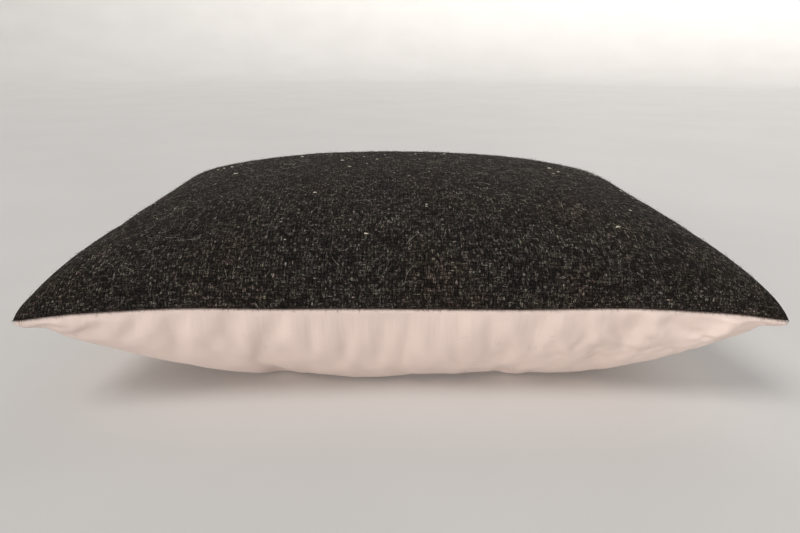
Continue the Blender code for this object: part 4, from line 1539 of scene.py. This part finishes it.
class CUSHION_OT_insert(bpy.types.Operator):
    """Make the insert: a calico casing in two halves, its hand-sewn closing and the filling"""

    bl_idname = "cushion.insert"
    bl_label = "Insert"

    def execute(self, context):
        calico = casing_material(weave_effect())
        inset = HALF_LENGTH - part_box("insert_casing_top")[1].x
        heights = {}
        for name, node, side, cover in (
            ("casing_top", "insert_casing_top", 1, "front_cloth"),
            ("casing_bottom", "insert_casing_bottom", -1, "back_cloth"),
        ):
            u, v, points, cloth = panel_grid(side, 100, 68)
            x, y = plan(u, v, inset)
            room = self.room_under(surface_of(cover), x, y, side)
            puckers = self.puckers(u, v, side)
            rise = np.abs(points[..., 2] - SEAM_HEIGHT) - 2.6 * MM - puckers
            rise = np.minimum(rise, room - 1.3 * MM)
            rise = np.maximum(rise, 0.5 * MM) * rounded_edge(u, v) + 0.35 * MM
            heights[side] = (x, y, rise)
            shell = np.stack([x, y, SEAM_HEIGHT + side * rise], -1)
            shell, wide_cloth = self.turn_in(shell, cloth, u, v, inset, side)
            piece, _, _ = grid_object(name, shell, wide_cloth, side)
            finish_panel(piece, 0.5 * MM, calico)
            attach(piece, "cushion")
            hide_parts(node)
        self.sew_closing(inset)
        self.make_filling(heights)
        return {"FINISHED"}

    def room_under(self, tree, x, y, side):
        """How far the cover leaves free over the seam plane, the least round each spot."""
        room = np.zeros_like(x)
        for spot in np.ndindex(x.shape):
            start = Vector((x[spot], y[spot], SEAM_HEIGHT + side * 0.2))
            place, _, _, _ = tree.ray_cast(start, Vector((0, 0, -side)), 0.21)
            room[spot] = abs(place.z - SEAM_HEIGHT) if place is not None else 0.5 * MM
        thickness = 1.6 * MM if side > 0 else 0.9 * MM
        padded = np.pad(room, 2, mode="edge")
        least = room.copy()
        for down in range(5):
            for across in range(5):
                near = padded[down:down + room.shape[0], across:across + room.shape[1]]
                least = np.minimum(least, near)
        return least - thickness

    def puckers(self, u, v, side):
        near_x = np.clip((np.abs(u) - 0.75) / 0.25, 0, 1)
        near_y = np.clip((np.abs(v) - 0.7) / 0.3, 0, 1)
        along = 0.6 * MM * near_y * (1 + np.sin(u * 61 + side))
        return along + 0.6 * MM * near_x * (1 + np.sin(v * 47))

    def turn_in(self, shell, cloth, u, v, inset, side):
        wide, wide_cloth, wide_u, wide_v = (widened(grid, 2) for grid in (shell, cloth, u, v))
        over = np.maximum(*rings(shell, 2))
        for depth, back, drop in ((1, 1.0 * MM, 0.2 * MM), (2, 8.0 * MM, 0.2 * MM)):
            ring = over == depth
            x, y = plan(wide_u, wide_v, inset + back)
            wide[ring] = np.stack([x, y, np.full_like(x, SEAM_HEIGHT + side * drop)], -1)[ring]
        return wide, wide_cloth

    def sew_closing(self, inset):
        low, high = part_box("insert_closing_thread")
        material = bpy.data.materials["pale sewing thread"]
        stitches = []
        for x in np.arange(low.x + 1 * MM, high.x - 3 * MM, 3.4 * MM):
            _, y = plan(np.array(x / HALF_LENGTH), np.array(1.0), inset)
            stitches.append([
                (x + share * 2.4 * MM, float(y) + 0.3 * MM - 0.9 * MM * abs(2 * share - 1) ** 3,
                 SEAM_HEIGHT + (share - 0.5) * 1.1 * MM)
                for share in (0, 0.15, 0.4, 0.6, 0.85, 1)
            ])
        piece = tubes("insert_closing_stitches", stitches, 0.25 * MM, 6, material)
        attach(piece, "cushion")
        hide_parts("insert_closing_thread")

    def make_filling(self, heights):
        seeds = np.random.default_rng(21)
        mesh_made = bmesh.new()
        for side, (x, y, rise) in heights.items():
            lumps = blur(seeds.normal(size=x.shape), 14)
            lumps = np.clip(lumps / np.abs(lumps).max(), -1, 1)
            inner = np.maximum(rise - 2.4 * MM - 2.2 * MM * (1 + lumps), 0) * rounded_edge(
                *np.meshgrid(np.linspace(-1, 1, x.shape[1]), np.linspace(-1, 1, x.shape[0]))
            )
            shrink = 0.985
            spots = np.stack([x * shrink, y * shrink, SEAM_HEIGHT + side * inner], -1)
            grid = [[mesh_made.verts.new(spot) for spot in row] for row in spots]
            for r in range(x.shape[0] - 1):
                for c in range(x.shape[1] - 1):
                    corners = [grid[r][c], grid[r][c + 1], grid[r + 1][c + 1], grid[r + 1][c]]
                    mesh_made.faces.new(corners if side > 0 else corners[::-1])
        bmesh.ops.remove_doubles(mesh_made, verts=mesh_made.verts, dist=0.05 * MM)
        bmesh.ops.recalc_face_normals(mesh_made, faces=mesh_made.faces)
        mesh = bpy.data.meshes.new("filling")
        mesh_made.to_mesh(mesh)
        mesh_made.free()
        mesh.materials.append(filling_material())
        mesh.polygons.foreach_set("use_smooth", [True] * len(mesh.polygons))
        piece = bpy.data.objects.new("filling", mesh)
        bpy.context.scene.collection.objects.link(piece)
        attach(piece, "cushion")
        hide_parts("insert_fill")


class CUSHION_OT_stage(bpy.types.Operator):
    """Make the floor, the lights and the camera"""

    bl_idname = "cushion.stage"
    bl_label = "Stage"

    def execute(self, context):
        colours = context.scene.cushion_colours
        deselect_all()
        bpy.ops.mesh.primitive_circle_add(
            vertices=96, radius=5.0, fill_type="NGON", location=(0, 0, -0.4 * MM)
        )
        floor = context.object
        floor.name = "floor"
        bpy.ops.object.mode_set(mode="EDIT")
        bpy.ops.mesh.select_mode(type="EDGE")
        bpy.ops.mesh.select_all(action="SELECT")
        for step in range(12):
            angle = (step + 0.5) / 12 * math.pi / 2
            rise = 0.2 * math.sin(angle)
            bpy.ops.mesh.extrude_edges_move(TRANSFORM_OT_translate={"value": (0, 0, rise)})
            grow = 1 + 0.2 * math.cos(angle) / 5
            bpy.ops.transform.resize(value=(grow, grow, 1))
        bpy.ops.mesh.select_all(action="SELECT")
        bpy.ops.mesh.normals_make_consistent(inside=True)
        bpy.ops.mesh.select_mode(type="VERT")
        bpy.ops.object.mode_set(mode="OBJECT")
        bpy.ops.object.transform_apply(location=True, rotation=True, scale=True)
        bpy.ops.object.shade_smooth()
        material, wires, shader = new_material("pale floor")
        place = wires.place()
        grain = wires.noise(place, 3.0, 4.0, 0.5)
        low = lighter(colours.floor, 0.96)
        colour = wires.mix(wires.ramp(grain, 0.3, 0.7), low, (*colours.floor, 1))
        feed(wires, shader, "Base Color", colour)
        shader.inputs["Roughness"].default_value = 0.6
        floor.data.materials.append(material)
        self.add_lights(context)
        self.add_camera(context)
        return {"FINISHED"}

    def add_lights(self, context):
        for name, place, softness, power, warmth in (
            ("high light", (-0.5, -0.3, 1.0), math.radians(30), 1.3, (1.0, 0.975, 0.95)),
            ("front light", (-0.45, -1.0, 0.3), math.radians(28), 2.9, (1.0, 0.965, 0.94)),
            ("rear light", (0.5, 0.9, 0.8), math.radians(40), 0.4, (1.0, 0.98, 0.96)),
            ("left light", (-1.25, -1.2, 0.34), math.radians(18), 1.1, (1.0, 0.965, 0.935)),
        ):
            light = bpy.data.lights.new(name, "SUN")
            light.energy = power
            light.color = warmth
            light.angle = softness
            lamp = bpy.data.objects.new(name, light)
            aim = Vector((0, 0, 0.08)) - Vector(place)
            turn = aim.to_track_quat("-Z", "Y").to_matrix().to_4x4()
            lamp.matrix_world = Matrix.Translation(place) @ turn
            context.scene.collection.objects.link(lamp)
        world = bpy.data.worlds.new("studio")
        world.use_nodes = True
        world.node_tree.nodes["Background"].inputs["Color"].default_value = (0.95, 0.96, 1.0, 1)
        world.node_tree.nodes["Background"].inputs["Strength"].default_value = 0.32
        context.scene.world = world
        context.scene.view_settings.view_transform = "Standard"

    def add_camera(self, context):
        turn, tilt, roll = -0.0205, math.radians(19.2), 0.0078
        level = Vector((math.cos(turn), math.sin(turn), 0))
        ahead = Vector((-math.sin(turn), math.cos(turn), 0))
        upward = Vector((0, 0, 1))
        forward = ahead * math.cos(tilt) - upward * math.sin(tilt)
        top = ahead * math.sin(tilt) + upward * math.cos(tilt)
        right = level * math.cos(roll) + top * math.sin(roll)
        up = top * math.cos(roll) - level * math.sin(roll)
        view = Matrix((right, up, -forward)).transposed().to_4x4()
        view.translation = Vector((-0.0128, -0.6022, 0.2624))
        data = bpy.data.cameras.new("camera")
        data.lens = 27.9
        data.sensor_width = 36
        data.clip_start = 0.01
        camera = bpy.data.objects.new("camera", data)
        camera.matrix_world = view
        context.scene.collection.objects.link(camera)
        context.scene.camera = camera


class CUSHION_PT_panel(bpy.types.Panel):
    """Sizes, colours and the pieces, in the order in which they are made"""

    bl_label = "Lumbar Cushion"
    bl_space_type = "VIEW_3D"
    bl_region_type = "UI"
    bl_category = "Cushion"

    def draw(self, context):
        layout = self.layout
        for group in (context.scene.cushion_sizes, context.scene.cushion_colours):
            box = layout.box()
            for name in group.bl_rna.properties.keys():
                if name not in {"rna_type", "name"}:
                    box.prop(group, name)
        for operator in OPERATORS:
            layout.operator(operator.bl_idname)


OPERATORS = (
    CUSHION_OT_front_cloth,
    CUSHION_OT_back_cloth,
    CUSHION_OT_wool_surface,
    CUSHION_OT_stray_hairs,
    CUSHION_OT_seam_threads,
    CUSHION_OT_zip,
    CUSHION_OT_slider,
    CUSHION_OT_zip_stitching,
    CUSHION_OT_insert,
    CUSHION_OT_stage,
)
CLASSES = (CushionSizes, CushionColours, *OPERATORS, CUSHION_PT_panel)


def register():
    for made in CLASSES:
        bpy.utils.register_class(made)
    bpy.types.Scene.cushion_sizes = bpy.props.PointerProperty(type=CushionSizes)
    bpy.types.Scene.cushion_colours = bpy.props.PointerProperty(type=CushionColours)


def unregister():
    del bpy.types.Scene.cushion_colours
    del bpy.types.Scene.cushion_sizes
    for made in reversed(CLASSES):
        bpy.utils.unregister_class(made)


def main():
    register()
    for operator in OPERATORS:
        group, name = operator.bl_idname.split(".")
        getattr(getattr(bpy.ops, group), name)()


if __name__ == "__main__":
    main()
